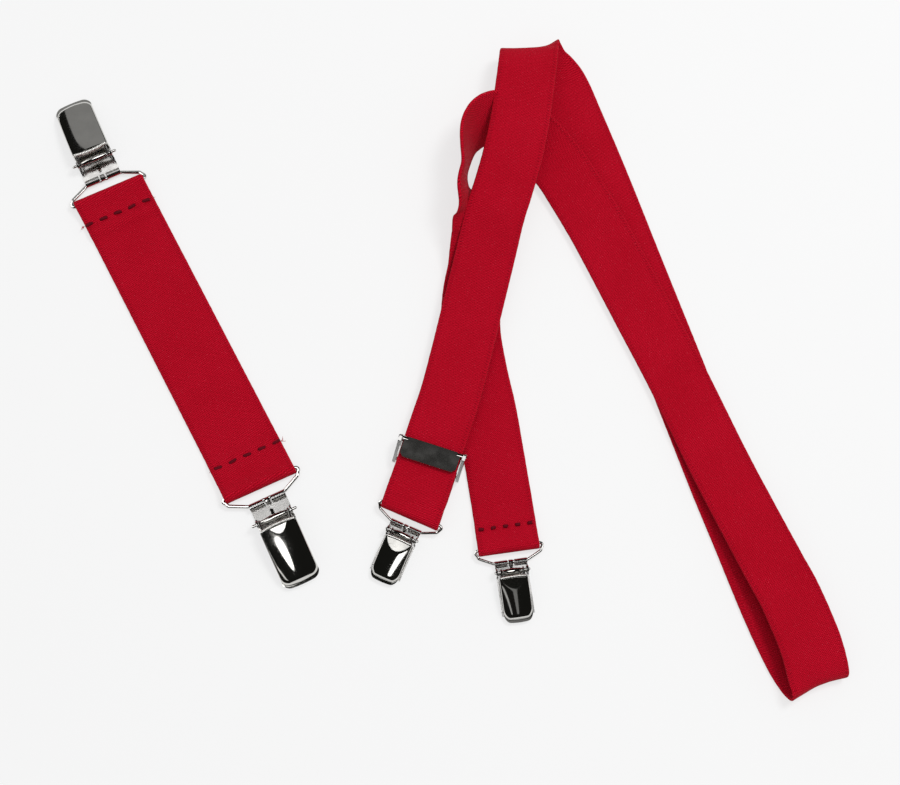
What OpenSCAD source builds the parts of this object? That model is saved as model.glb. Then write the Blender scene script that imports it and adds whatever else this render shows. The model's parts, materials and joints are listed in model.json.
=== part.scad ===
// Pair of clip-on elastic suspender straps laid out flat: a short wide strap with a
// large clip at each end, and a long narrow strap with two small clips and a slide
// adjuster. +Z points up from the table, X runs across the layout and Y up it.
// The origin is under the middle of the whole layout, on the table. Millimetres.

/* [Webbing] */
// Width of the short strap's elastic webbing
short_web_w = 25; // [22:0.5:30]
// Width of the long strap's elastic webbing
long_web_w = 20; // [17:0.5:24]
// Thickness of both webbings
web_t = 1.2; // [0.9:0.1:1.4]
// Length of the short strap between its two folded ends
short_strap_len = 118; // [90:1:150]
// Length of the doubled, sewn end of the short strap
short_hem_len = 14; // [11:1:18]
// Length of the doubled, sewn end of the long strap
long_hem_len = 12; // [10:1:15]

/* [Wire bails] */
// Wire diameter of the large bails
big_wire_d = 1.3; // [1:0.1:1.6]
// Wire diameter of the small bails
small_wire_d = 1; // [0.8:0.1:1.2]
// Distance between the two bars of a large bail
big_bail_len = 6.5; // [5.5:0.1:9]
// Distance between the two bars of a small bail
small_bail_len = 5.2; // [4.6:0.1:7]
// Angle of the bail's sloping arms to its bars
bail_arm_angle = 22; // [12:1:30]
// Free space between the wire and the webbing around it
web_gap = 0.3; // [0.2:0.05:0.5]
// Free space between a bail's legs and the webbing's edges
leg_gap = 0.5; // [0.4:0.05:0.8]
// Free space between the wire and the rolled sheet around it
wire_clear = 0.08; // [0.03:0.01:0.1]

/* [Large clips] */
// Width of a large clip's base
big_base_w = 12.6; // [11:0.1:15]
// Length of a large clip's base, from its roll's axis
big_base_len = 27.6; // [24:0.1:34]
// Height of a large clip's pivot pin above the table
big_pin_z = 4.2; // [3.8:0.1:5]
// Distance of a large clip's pivot pin from its roll's axis
big_pin_y = 6.5; // [5.5:0.1:8]
// Diameter of a large clip's pivot pin
big_pin_d = 1; // [0.8:0.1:1.2]
// Length of a large clip's pivot pin
big_pin_len = 16; // [15.5:0.1:19]
// Width of a large clip's lever cover
big_cover_w = 12.8; // [11.5:0.1:15]
// Length of a large clip's lever cover
big_cover_len = 21.2; // [18:0.1:26]
// Height of a large clip's lever cover above the table
big_cover_z = 6.6; // [6:0.1:8]
// Thickness of a large clip's sheet metal
big_sheet_t = 0.6; // [0.4:0.05:0.8]

/* [Small clips] */
// Width of a small clip's base
small_base_w = 10.6; // [9.5:0.1:13]
// Length of a small clip's base, from its roll's axis
small_base_len = 18.4; // [16:0.1:23]
// Height of a small clip's pivot pin above the table
small_pin_z = 3; // [2.8:0.1:3.6]
// Distance of a small clip's pivot pin from its roll's axis
small_pin_y = 3; // [2.8:0.1:4.5]
// Diameter of a small clip's pivot pin
small_pin_d = 0.9; // [0.7:0.1:1]
// Length of a small clip's pivot pin
small_pin_len = 11.8; // [11.6:0.1:15]
// Width of a small clip's lever cover
small_cover_w = 9.3; // [8:0.1:9.4]
// Length of a small clip's lever cover
small_cover_len = 15.4; // [13:0.1:19]
// Height of a small clip's lever cover above the table
small_cover_z = 5; // [4.6:0.1:6]
// Thickness of a small clip's sheet metal
small_sheet_t = 0.5; // [0.4:0.05:0.6]

/* [Slide adjuster] */
// Length of the adjuster's frame along the strap
adj_len = 9.6; // [9:0.1:13]
// Thickness of the adjuster frame's side walls
adj_wall_t = 1; // [1:0.1:1.6]
// Width of the adjuster's lever plate
adj_plate_w = 19.2; // [16:0.1:20]
// Length of the adjuster's lever plate along the strap
adj_plate_len = 6.9; // [6:0.1:8]
// Thickness of the adjuster's lever plate
adj_plate_t = 0.8; // [0.6:0.1:1]
// Diameter of the bar that the strap's end is sewn around
adj_bar_d = 1.2; // [1:0.1:1.4]
// Diameter of the lever plate's two trunnions
adj_trunnion_d = 1.2; // [1:0.1:1.3]

/* [Stitching] */
// Distance between the stitches in a row on the short strap
short_stitch_pitch = 5.2; // [4.4:0.1:5.6]
// Distance between the stitches in a row on the long strap
long_stitch_pitch = 4; // [3.2:0.1:4.2]
// Thickness of the sewing thread
thread_d = 0.7; // [0.5:0.1:0.9]

/* [Hidden] */
$fn = 32;
BIG = "big";
SMALL = "small";

red = "#aa0519";
thread_red = "#6e000f";
nickel = "#c9c9c6";
pad_grey = "#e8e6e0";

// Where each clipped end's fold edge lies on the table, and its heading in degrees
end_a = [-112.3, 60.8];
heading_a = 114.5;
heading_b = -65.3;
heading_short = -61.8;
end_c = [-8.4, -53.5];
heading_c = -113.5;
end_d = [24.3, -64.3];
heading_d = -82;
// The adjuster's place on the long strap's front run
adj_at = [-1.6, -33];
heading_adj = 72;
// Height of the wide bar that holds up the long strap's looped end
loop_bar_z = 3.6;

function along(heading) = [cos(heading), sin(heading)];
function across(heading) = [sin(heading), -cos(heading)];
end_b = end_a + short_strap_len * along(heading_short);

// Sizes that both kinds of clip share, by kind
function web_w(s) = s == BIG ? short_web_w : long_web_w;
function wire_d(s) = s == BIG ? big_wire_d : small_wire_d;
function bail_len(s) = s == BIG ? big_bail_len : small_bail_len;
function base_w(s) = s == BIG ? big_base_w : small_base_w;
function base_len(s) = s == BIG ? big_base_len : small_base_len;
function pin_y(s) = s == BIG ? big_pin_y : small_pin_y;
function pin_z(s) = s == BIG ? big_pin_z : small_pin_z;
function pin_d(s) = s == BIG ? big_pin_d : small_pin_d;
function pin_len(s) = s == BIG ? big_pin_len : small_pin_len;
function cover_w(s) = s == BIG ? big_cover_w : small_cover_w;
function cover_len(s) = s == BIG ? big_cover_len : small_cover_len;
function cover_z(s) = s == BIG ? big_cover_z : small_cover_z;
function sheet_t(s) = s == BIG ? big_sheet_t : small_sheet_t;
function hem_len(s) = s == BIG ? short_hem_len : long_hem_len;

// Webbing turned round a bail's wide bar: radius of its middle, and of its outside
function turn_r(s) = wire_d(s) / 2 + web_gap + web_t / 2;
function turn_out(s) = turn_r(s) + web_t / 2;
// Heights of the wide bar in a sewn end and of the roll's axis in a base
function hem_bar_z(s) = turn_out(s);
function roll_in(s) = wire_d(s) / 2 + wire_clear;
function roll_z(s) = roll_in(s) + sheet_t(s);
// Lean of a bail from its wide bar down to the roll, and how far out the roll then is
function bail_lean(s, bar_z) = asin((bar_z - roll_z(s)) / bail_len(s));
function roll_y(s, bar_z) = bail_len(s) * cos(bail_lean(s, bar_z)) - turn_out(s);
// Where the lever's cover starts, counted from the roll's axis
ear_r_over_pin = 0.85;
function ear_r(s) = pin_d(s) / 2 + ear_r_over_pin;
function cover_y(s) = s == BIG ? pin_y(s) + ear_r(s) + 0.85 : pin_y(s) + 1.1;

// Air between two stacked layers of webbing
layer_gap = 0.1;
// Level lead, past a sewn end, over which its webbing comes back down to the table
hem_lead = 2.6;
// Adjuster heights, from the table up
adj_bar_gap = 0.1;
adj_bar_z = web_t + 0.05 + adj_bar_gap + adj_bar_d / 2;
adj_turn_r = adj_bar_d / 2 + adj_bar_gap + web_t / 2;
adj_bar_y = -3.6;
// Air between the sewn end, round the adjuster's bar, and the front run above it
front_gap = 0.25;
// Height of the front run's middle over the adjuster
front_z = adj_bar_z + adj_turn_r + web_t + front_gap;
adj_plate_z = front_z + web_t / 2 + 0.65;
adj_hinge_y = 3.1;
adj_hinge_z = adj_plate_z + adj_plate_t / 2;
// Side gaps from the adjuster's walls to the webbing and to the lever plate
adj_web_gap = 0.4;
adj_plate_gap = 0.15;
adj_in_w = max(long_web_w + 2 * adj_web_gap, adj_plate_w + 2 * adj_plate_gap);
adj_wall_h = adj_hinge_z + 0.85;
adj_wall_z = 1.4;
// The end of the strap that is sewn round the adjuster's bar, and its row of stitches
sewn_len = 11.5;
sewn_low_z = web_t / 2 + 0.05;
loop_row_from_bar = 5;
// How much of the looped end, from its fold edge, keeps level round the bail's wide bar
loop_turn_len = 6;

// The long strap's middle line, station by station: [x, y, z, direction of its width on
// the table, lean of its width]. The ribbon's width is level at a lean of 0.
FRONT_RUN = [
    [-0.1, -28.4, front_z, 162, 0],
    [2.3, -21, front_z, 162, 0],
    [5.1, -12.4, front_z, 162, 0],
    [8.3, 0, front_z + 0.1, 163, 0],
    [12.4, 17, front_z + 0.9, 165, 0],
    [16.6, 34, 8, 166, 0],
    [20, 48, 11, 166, 0],
    [22.8, 57, 12, 165, 0],
    [26, 68.5, 12.4, 166, 0],
    [28.6, 81, 12.6, 169, 0],
    [30.6, 94, 12.6, 174, 0]];
TOP_FOLD = [
    [30.6, 94, 12.6, 174, 0],
    [31.8, 102, 12.4, 180, 0],
    [32.7, 107, 11, 183, 0],
    [34, 109.6, 7, 185, 0],
    [36.4, 108.6, 3.6, 189, 4],
    [39.2, 105, 1.9, 196, 6],
    [43, 99, 0.8, 203, 1]];
UNDER_RUN = [
    [43, 99, 0.8, 203, 1],
    [48.6, 85, 0.65, 203, 0],
    [57, 62.5, 0.6, 203, 0],
    [66.5, 35.5, 0.6, 202, 0],
    [79.8, -2, 0.6, 203, 0],
    [93.3, -40, 0.6, 205, 0],
    [100.4, -59, 0.6, 205, 0],
    [108.9, -81.8, 0.6, 205, 0],
    [115, -96, 0.6, 205, 0]];
CORNER_FOLD = [
    [115, -96, 0.6, 205, 0],
    [118.6, -102.6, 0.9, 204, 0],
    [121, -106, 2.6, 203, 0],
    [121.8, -105.9, 4.9, 202, 0],
    [121.3, -102.5, 6.5, 201, 0],
    [119, -93, 7, 200, 0]];
MIDDLE_RUN = [
    [119, -93, 7, 200, 0],
    [113.8, -79, 6.6, 203, 0],
    [109, -69, 6, 205, 0],
    [100.3, -50.5, 4.6, 205, 0],
    [92.9, -34.2, 3.2, 204, 0],
    [80.6, -6, 2.2, 204, 0],
    [70.5, 15, 2.1, 205, 0],
    [56.2, 44.5, 2.1, 206, 0],
    [48, 59.5, 2.2, 209, 0],
    [43.4, 67, 2.6, 213, 0]];
SIDE_LOOP = [
    [43.4, 67, 2.6, 213, 0],
    [38.4, 73.4, 3, 217, -4],
    [32.8, 79.2, 3.6, 225, -10],
    [27, 82.6, 4.4, 240, -18],
    [21, 83.2, 5.6, 262, -28],
    [15.8, 81, 8, 290, -46],
    [12, 76.3, 9.8, 322, -64],
    [10.4, 70, 10.5, 346, -78],
    [10, 63.5, 10.6, 356, -84],
    [10.4, 57.5, 10, 360, -68],
    [12.9, 52, 7.8, 364, -44],
    [14.1, 47, 6, 365, -32],
    [14.6, 42, 4.5, 365, -22],
    [14.2, 32, 2.6, 363, -9]];
END_RUN = [
    [14.2, 32, 2.6, 363, -9],
    [12.4, 22, 1.25, 361, -2],
    [12, 10, 0.65, 365, 0],
    [14.2, -4, 0.6, 371, 0],
    [17, -17, 0.6, 371, 0],
    [19.3, -31, 0.6, 369, 0],
    [21.2, -43, 0.6, 368, 0]];
RING_STEPS = 3;

// ---- Frames ----

// Puts its children at a point on the table with their +Y along a heading
module facing(at, heading) {
    translate([at.x, at.y, 0]) rotate(heading - 90) children();
}

// Puts its children at a clip's roll axis on the table, +Y out along the clip
module clip_frame(end) {
    if (end == "a") facing(end_a, heading_a) translate([0, roll_y(BIG, hem_bar_z(BIG)), 0]) children();
    if (end == "b") facing(end_b, heading_b) translate([0, roll_y(BIG, hem_bar_z(BIG)), 0]) children();
    if (end == "c") facing(end_c, heading_c) translate([0, roll_y(SMALL, loop_bar_z), 0]) children();
    if (end == "d") facing(end_d, heading_d) translate([0, roll_y(SMALL, hem_bar_z(SMALL)), 0]) children();
}

// ---- Webbing ----

function unit(v) = v / norm(v);
function flip(v) = [for (i = [len(v) - 1:-1:0]) v[i]];

// Outline of a strip of even thickness along a line of points in one plane
function strip(line, thick) =
    let (n = len(line),
         side = [for (i = [0:n - 1])
             let (d = unit(line[min(i + 1, n - 1)] - line[max(i - 1, 0)])) [-d.y, d.x] * thick / 2])
    concat([for (i = [0:n - 1]) line[i] + side[i]],
           flip([for (i = [0:n - 1]) line[i] - side[i]]));

// Half circle from the bottom layer round to the top layer, about (y, z)
function half_turn(at, r, steps = 10) =
    [for (i = [0:steps]) at + r * [sin(180 * i / steps), -cos(180 * i / steps)]];

// A strip in the Y-Z plane, given its width along X
module webbing_strip(line, width) {
    rotate([90, 0, 90]) translate([0, 0, -width / 2])
        linear_extrude(width) polygon(strip(line, web_t));
}

// One point and width direction on a Catmull-Rom line through stations
function blend4(a, b, c, d, u) =
    0.5 * (2 * b + (c - a) * u + (2 * a - 5 * b + 4 * c - d) * u * u
           + (3 * b - a - 3 * c + d) * u * u * u);
function station(run, k) =
    k < 0 ? 2 * run[0] - run[1] : k >= len(run) ? 2 * run[len(run) - 1] - run[len(run) - 2] : run[k];
function spot(run, k, u) =
    blend4(station(run, k - 1), station(run, k), station(run, k + 1), station(run, k + 2), u);
function spots(run) = concat(
    [for (k = [0:len(run) - 2]) for (j = [0:RING_STEPS - 1]) spot(run, k, j / RING_STEPS)],
    [run[len(run) - 1]]);
function place(s) = [s[0], s[1], s[2]];
function width_dir(s) = [cos(s[3]) * cos(s[4]), sin(s[3]) * cos(s[4]), sin(s[4])];

// Four corners of the webbing's section at one spot of a line
function ring(list, i, width) =
    let (t = unit(place(list[min(i + 1, len(list) - 1)]) - place(list[max(i - 1, 0)])),
         w0 = width_dir(list[i]),
         w = unit(w0 - (w0 * t) * t),
         up = cross(t, w))
    [for (c = [[-1, -1], [1, -1], [1, 1], [-1, 1]])
        place(list[i]) + c[0] * w * width / 2 + c[1] * up * web_t / 2];

// Webbing through spots number `from` to `to` of a line of spots
module ribbon(list, width, from, to) {
    n = to - from + 1;
    corners = [for (i = [from:to]) each ring(list, i, width)];
    sides = [for (i = [0:n - 2]) for (j = [0:3])
        let (a = 4 * i + j, b = 4 * i + (j + 1) % 4) each [[a, b, b + 4], [a, b + 4, a + 4]]];
    ends = [[2, 1, 0], [3, 2, 0], 4 * (n - 1) * [1, 1, 1] + [0, 1, 2], 4 * (n - 1) * [1, 1, 1] + [0, 2, 3]];
    polyhedron(corners, concat(sides, ends), convexity = 8);
}

// Level station on the table at a distance along a heading from a point, its width square to
// the heading, on the side that `turn` gives
function level(at, heading, s, z, turn = 90) =
    [at.x + s * cos(heading), at.y + s * sin(heading), z, heading + turn, 0];

// Every run of the long strap in order, from the looped end to the plain sewn end. Each run
// starts at the station where the one before it ends, and they share that spot's section.
function loop_top_z() = loop_bar_z + turn_r(SMALL);
function loop_low_z() = loop_bar_z - turn_r(SMALL);
LOOP_RUN = [
    level(end_c, heading_adj, loop_turn_len, loop_top_z()),
    level(end_c, heading_adj, loop_turn_len + 1.2, loop_top_z()),
    level(end_c, heading_adj, loop_turn_len + 3, loop_top_z()),
    level(adj_at, heading_adj, -6.5, front_z),
    level(adj_at, heading_adj, 0, front_z),
    FRONT_RUN[0]];
LAST_RUN = concat(END_RUN, [
    level(end_d, heading_d, -long_hem_len - hem_lead - 4, web_t / 2),
    level(end_d, heading_d, -long_hem_len - hem_lead - 2, web_t / 2),
    level(end_d, heading_d, -long_hem_len - hem_lead, web_t / 2)]);
RUNS = [LOOP_RUN, FRONT_RUN, TOP_FOLD, UNDER_RUN, CORNER_FOLD, MIDDLE_RUN, SIDE_LOOP, LAST_RUN];
function first_of(k) = k == 0 ? 0 : first_of(k - 1) + len(RUNS[k - 1]) - 1;
LONG_LINE = spots([for (k = [0:len(RUNS) - 1]) for (i = [k == 0 ? 0 : 1:len(RUNS[k]) - 1]) RUNS[k][i]]);

module run_ribbon(k) {
    color(red) ribbon(LONG_LINE, long_web_w, first_of(k) * RING_STEPS, first_of(k + 1) * RING_STEPS);
}

// Doubled end sewn round a bail's wide bar: +Y out to the fold edge at Y 0
function hem_line(s) =
    let (t = web_t, top = t / 2 + t + layer_gap, out = turn_out(s), r = turn_r(s), h = hem_len(s))
    concat([[3.2 - h, t / 2], [-out - 3.6, t / 2]], half_turn([-out, hem_bar_z(s)], r),
           [[-out - 2.2, top + 0.9], [-out - 4.4, top], [1.4 - h, top], [-0.6 - h, t / 2 + 0.3],
            [0.6 - h - hem_lead, t / 2], [-h - hem_lead - skew_spare, t / 2]]);

// Everything between the two edges of a strap that ends at a point on its middle line, and
// no further back from there than `back`
module strap_end(at, heading, width, back) {
    facing(at, heading) translate([-width / 2, -back, -1]) cube([width, back + skew_spare, 20]);
}

// Extra width and length from which a skewed end is cut back to the strap's own edges
skew_spare = 6;

// Sewn end whose fold line is a little askew to the strap it ends
module hem(s, at, heading, strap_heading) {
    color(red) intersection() {
        facing(at, heading) webbing_strip(hem_line(s), web_w(s) + skew_spare);
        strap_end(at, strap_heading, web_w(s), hem_len(s) + hem_lead);
    }
}

module short_webbing() {
    reach = short_hem_len + hem_lead;
    color(red) facing(end_b, heading_short) translate([-short_web_w / 2, reach - short_strap_len, 0])
        cube([short_web_w, short_strap_len - 2 * reach, web_t]);
}

module short_hem_a() hem(BIG, end_a, heading_a, heading_short + 180);
module short_hem_b() hem(BIG, end_b, heading_b, heading_short);
module long_hem_d() hem(SMALL, end_d, heading_d, heading_d);

// A row of stitches lying on a doubled end's top layer
module stitch_row(count, pitch, y, z) {
    color(thread_red) for (i = [0:count - 1])
        translate([(i - (count - 1) / 2) * pitch, y, z]) rotate([0, 90, 0])
            cylinder(h = 0.55 * pitch, d = thread_d, center = true);
}

// Height at which a thread rests on top of two stacked layers
stitch_z = 2 * web_t + layer_gap + thread_d / 2;
stitch_from_fold = 8.8;
// Distance of the short strap's two rows from their fold edges
row_a_from_fold = 9.6;
row_b_from_fold = 12.3;

module short_stitching_a() facing(end_a, heading_a)
    stitch_row(5, short_stitch_pitch, -row_a_from_fold, stitch_z);
module short_stitching_b() facing(end_b, heading_b)
    stitch_row(5, short_stitch_pitch, -row_b_from_fold, stitch_z);
module long_stitching_d() facing(end_d, heading_d)
    stitch_row(5, long_stitch_pitch, -stitch_from_fold, stitch_z);

module loop_front_webbing() run_ribbon(0);
module long_front_run() run_ribbon(1);
module long_top_fold() run_ribbon(2);
module long_under_run() run_ribbon(3);
module long_corner_fold() run_ribbon(4);
module long_middle_run() run_ribbon(5);
module long_side_loop() run_ribbon(6);
module long_end_run() run_ribbon(7);

// ---- Looped end with the slide adjuster ----

module loop_turn_webbing() {
    out = turn_out(SMALL);
    reach = loop_turn_len + skew_spare;
    line = concat([[-reach, loop_low_z()]], half_turn([-out, loop_bar_z], turn_r(SMALL)),
                  [[-reach, loop_top_z()]]);
    color(red) intersection() {
        facing(end_c, heading_c) webbing_strip(line, long_web_w + skew_spare);
        strap_end(end_c, heading_adj + 180, long_web_w, loop_turn_len);
    }
}

module loop_return_webbing() {
    list = [level(end_c, heading_adj, loop_turn_len, loop_low_z()),
            level(end_c, heading_adj, loop_turn_len + 0.6, loop_low_z()),
            level(adj_at, heading_adj, -sewn_len - 0.6, sewn_low_z),
            level(adj_at, heading_adj, -sewn_len, sewn_low_z)];
    color(red) ribbon(list, long_web_w, 0, len(list) - 1);
}

module loop_sewn_end() {
    up = sewn_low_z + web_t + layer_gap;
    line = concat([[-sewn_len, sewn_low_z]], half_turn([adj_bar_y, adj_bar_z], adj_turn_r),
                  [[adj_bar_y - 2.2, up + 0.8], [adj_bar_y - 4.2, up], [2 - sewn_len, up]]);
    facing(adj_at, heading_adj) color(red) webbing_strip(line, long_web_w);
}

module loop_stitching() facing(adj_at, heading_adj)
    stitch_row(4, long_stitch_pitch, adj_bar_y - loop_row_from_bar, stitch_z + 0.05);

module adjuster_wall() {
    hole = adj_trunnion_d / 2 + 0.05;
    rotate([90, 0, 90]) linear_extrude(adj_wall_t) difference() {
        hull() {
            translate([-adj_len / 2 - 0.4, adj_wall_z]) square([adj_len, 2]);
            translate([adj_hinge_y - 1.5, adj_hinge_z]) circle(adj_wall_h - adj_hinge_z);
            translate([adj_hinge_y, adj_hinge_z]) circle(adj_wall_h - adj_hinge_z);
        }
        translate([adj_hinge_y, adj_hinge_z]) circle(hole);
    }
}

module adjuster_frame() {
    reach = adj_in_w / 2;
    clamp_z = front_z - web_t / 2 - 0.3;
    color(nickel) facing(adj_at, heading_adj) {
        translate([reach, 0, 0]) adjuster_wall();
        translate([-reach - adj_wall_t, 0, 0]) adjuster_wall();
        translate([0, adj_bar_y, adj_bar_z]) rotate([0, 90, 0])
            cylinder(h = adj_in_w + 0.4, d = adj_bar_d, center = true);
        translate([-reach - 0.2, 0.6, clamp_z - 1]) cube([adj_in_w + 0.4, 2.4, 1]);
    }
}

module adjuster_lever() {
    w = adj_plate_w / 2;
    front = adj_hinge_y + 0.6;
    back = front - adj_plate_len;
    cut = 1.2;
    reach = adj_in_w / 2 + adj_wall_t;
    color(nickel) facing(adj_at, heading_adj) {
        translate([0, 0, adj_plate_z]) linear_extrude(adj_plate_t)
            polygon([[-w, back + cut], [cut - w, back], [w - cut, back], [w, back + cut],
                     [w, front - cut], [w - cut, front], [cut - w, front], [-w, front - cut]]);
        for (side = [-1, 1]) translate([side * (reach + w - 1) / 2, adj_hinge_y, adj_hinge_z])
            rotate([0, 90, 0]) cylinder(h = reach - w + 1.4, d = adj_trunnion_d, center = true);
        for (i = [-7:7]) translate([i * 1.2, adj_hinge_y - 0.6, adj_plate_z])
            cylinder(h = 0.9, r1 = 0.3, r2 = 0.3, center = true, $fn = 16);
    }
}

// ---- Wire bail ----

// Corners of half a bail: narrow bar's end, knee where the arm meets the leg, wide bar's end
function bail_far(s) = web_w(s) / 2 + leg_gap + wire_d(s) / 2;
function bail_near(s) = base_w(s) / 2 + 0.35;
function bail_knee(s) = bail_len(s) - (bail_far(s) - bail_near(s)) * tan(bail_arm_angle);
function bend_r(s) = 1.1 * wire_d(s);
// How much thinner the wire is where it has been bent
bend_thinning = 0.03;

// How far a straight stretch of wire runs on into the bend at each end
wire_overlap = 0.03;

// Straight wire from a point along a direction in degrees
module wire(at, dir, len, d) {
    translate([at.x, at.y, 0]) rotate(dir) translate([-wire_overlap, 0, 0]) rotate([0, 90, 0])
        cylinder(h = len + 2 * wire_overlap, d = d);
}

// Wire bent clockwise at a corner, arriving along a direction and turning by an angle
module bend(corner, dir, turn, r, d) {
    start = corner - r * tan(turn / 2) * along(dir);
    centre = start + r * across(dir);
    translate([centre.x, centre.y, 0]) rotate(dir + 90 - turn)
        rotate_extrude(angle = turn) translate([r, 0]) circle(d = d - bend_thinning);
}

// Bail in its own frame: wide bar on the X axis, narrow bar out along +Y
module bail(s, bar_z) {
    d = wire_d(s);
    r = bend_r(s);
    arm = bail_arm_angle;
    far = bail_far(s);
    near = [bail_near(s), bail_len(s)];
    knee = [far, bail_knee(s)];
    cut_near = r * tan(arm / 2);
    cut_knee = r * tan((90 - arm) / 2);
    color(nickel) translate([0, -turn_out(s), bar_z]) rotate([-bail_lean(s, bar_z), 0, 0]) {
        wire([cut_near - near.x, near.y], 0, 2 * (near.x - cut_near), d);
        wire([r - far, 0], 0, 2 * (far - r), d);
        for (side = [0, 1]) mirror([side, 0, 0]) {
            bend(near, 0, arm, r, d);
            wire(near + cut_near * along(-arm), -arm, norm(knee - near) - cut_near - cut_knee, d);
            bend(knee, -arm, 90 - arm, r, d);
            wire([far, knee.y - cut_knee], -90, knee.y - cut_knee - r, d);
            bend([far, 0], -90, 90, r, d);
        }
    }
}

module bail_a() facing(end_a, heading_a) bail(BIG, hem_bar_z(BIG));
module bail_b() facing(end_b, heading_b) bail(BIG, hem_bar_z(BIG));
module bail_c() facing(end_c, heading_c) bail(SMALL, loop_bar_z);
module bail_d() facing(end_d, heading_d) bail(SMALL, hem_bar_z(SMALL));

// ---- Clip ----

// A thin upright wall in the Y-Z plane, from X = at to X = at + thick
module upright(at, thick) {
    translate([at, 0, 0]) rotate([90, 0, 90]) linear_extrude(thick) children();
}

// Slot in the neck: where it starts, as a share of the neck, then its width and length
slot_share = 0.62;
function slot_w(s) = 0.085 * base_w(s);
function slot_len(s) = s == BIG ? 1.6 : 0.6;
// Gaps between the lobes of the roll and its middle tab, as shares of the base's width
roll_tab = 1 / 16;
roll_lobe = 1 / 9;
// Foot that runs along under each ear of the base
foot_len = 0.8;
foot_h = 0.8;
// Height of the jaw tray's rims over one and a half times the sheet
rim_over = 0.5;
// Length of the tray's rounded tip
tip_len = 1.6;

// Base: a roll round the bail, a slotted neck, two ears for the pin and a jaw tray
module clip_base(s) {
    w = base_w(s);
    t = sheet_t(s);
    hole = pin_d(s) / 2 + 0.02;
    tray_rim = 1.5 * t + rim_over;
    tray_y = cover_y(s) + 1;
    slot_y = slot_share * (pin_y(s) - ear_r(s));
    color(nickel) {
        difference() {
            translate([-w / 2, 0, 0]) cube([w, base_len(s) - tip_len + 0.1, t]);
            translate([0, 0, roll_z(s)]) rotate([0, 90, 0])
                cylinder(h = w + 1, r = roll_in(s), center = true);
            translate([-slot_w(s) / 2, slot_y, -0.1]) cube([slot_w(s), slot_len(s), t + 0.2]);
            for (y = [slot_y, slot_y + slot_len(s)]) translate([0, y, -0.1])
                cylinder(h = t + 0.2, d = slot_w(s));
        }
        // roll in two lobes with a narrower tab between them
        for (span = w * [[-0.5, -roll_lobe], [-roll_tab, roll_tab], [roll_lobe, 0.5]])
            translate([span[0], 0, roll_z(s)]) rotate([0, 90, 0]) difference() {
                cylinder(h = span[1] - span[0], r = roll_z(s));
                translate([0, 0, -0.5]) cylinder(h = span[1] - span[0] + 1, r = roll_in(s));
            }
        for (x = [-w / 2, w / 2 - t]) upright(x, t) difference() {
            union() {
                translate([pin_y(s), pin_z(s)]) circle(ear_r(s));
                translate([pin_y(s) - ear_r(s), 0]) square([2 * ear_r(s), pin_z(s)]);
                translate([pin_y(s) - ear_r(s) - foot_len, 0])
                    square([2 * ear_r(s) + foot_len, t + foot_h]);
            }
            translate([pin_y(s), pin_z(s)]) circle(hole);
        }
        // jaw tray with low rims and a rounded end
        for (x = [-w / 2, w / 2 - t]) translate([x, tray_y, 0])
            cube([t, base_len(s) - 3 - tray_y, tray_rim]);
        translate([0, base_len(s) - tip_len, 0]) linear_extrude(t) intersection() {
            translate([0, tip_len - w]) circle(w);
            translate([-w / 2 + 1, 0]) square([w - 2, 2]);
        }
    }
}

// Plastic pad with cross ridges that lines the jaw
module grip_pad(s) {
    w = base_w(s) - 2 * sheet_t(s) - 0.4;
    y0 = cover_y(s) + 2;
    y1 = base_len(s) - 1.6;
    z = sheet_t(s);
    ridges = 6;
    color(pad_grey) {
        translate([-w / 2, y0, z]) cube([w, y1 - y0, 0.5]);
        for (i = [0:ridges - 1])
            translate([-w / 2, y0 + 0.4 + i * (y1 - y0 - 1.4) / (ridges - 1), z + 0.5])
                cube([w, 0.6, 0.3]);
    }
}

module pivot_pin(s) {
    r = pin_d(s) / 2;
    straight = pin_len(s) - 2 * r;
    color(nickel) translate([0, pin_y(s), pin_z(s)]) {
        rotate([0, 90, 0]) cylinder(h = straight, r = r, center = true);
        for (side = [-1, 1]) translate([side * straight / 2, 0, 0]) sphere(r);
    }
}

// Lower rim of the lever's cover, clear of the tray's rims
cover_clear = 0.35;
function rim_z(s) = 1.5 * sheet_t(s) + rim_over + cover_clear;

// Section of the cover, v from 0 on one side to 1 on the other, u from hinge to tip
function cover_hw(s, u) =
    cover_w(s) / 2 * (0.96 + 0.04 * sin(180 * u)) * sqrt(1 - 0.3 * pow(max(0, u - 0.88) / 0.12, 2));
function cover_top(s, u) =
    let (high = cover_z(s), low = rim_z(s) + 1.1 * sheet_t(s) + 0.5)
    u < 0.12 ? high - 0.5 * pow((0.12 - u) / 0.12, 2) : high - (high - low) * pow((u - 0.12) / 0.88, 1.6);
function cover_point(s, u, v, inset) =
    let (c = cos(180 * v), hw = cover_hw(s, u) - inset, rim = rim_z(s),
         rise = cover_top(s, u) - inset - rim)
    [hw * sign(c) * pow(abs(c), 0.5), cover_y(s) + u * (cover_len(s) - (inset > 0 ? inset : 0)),
     rim + rise * pow(sin(180 * v), 0.55)];

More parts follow.
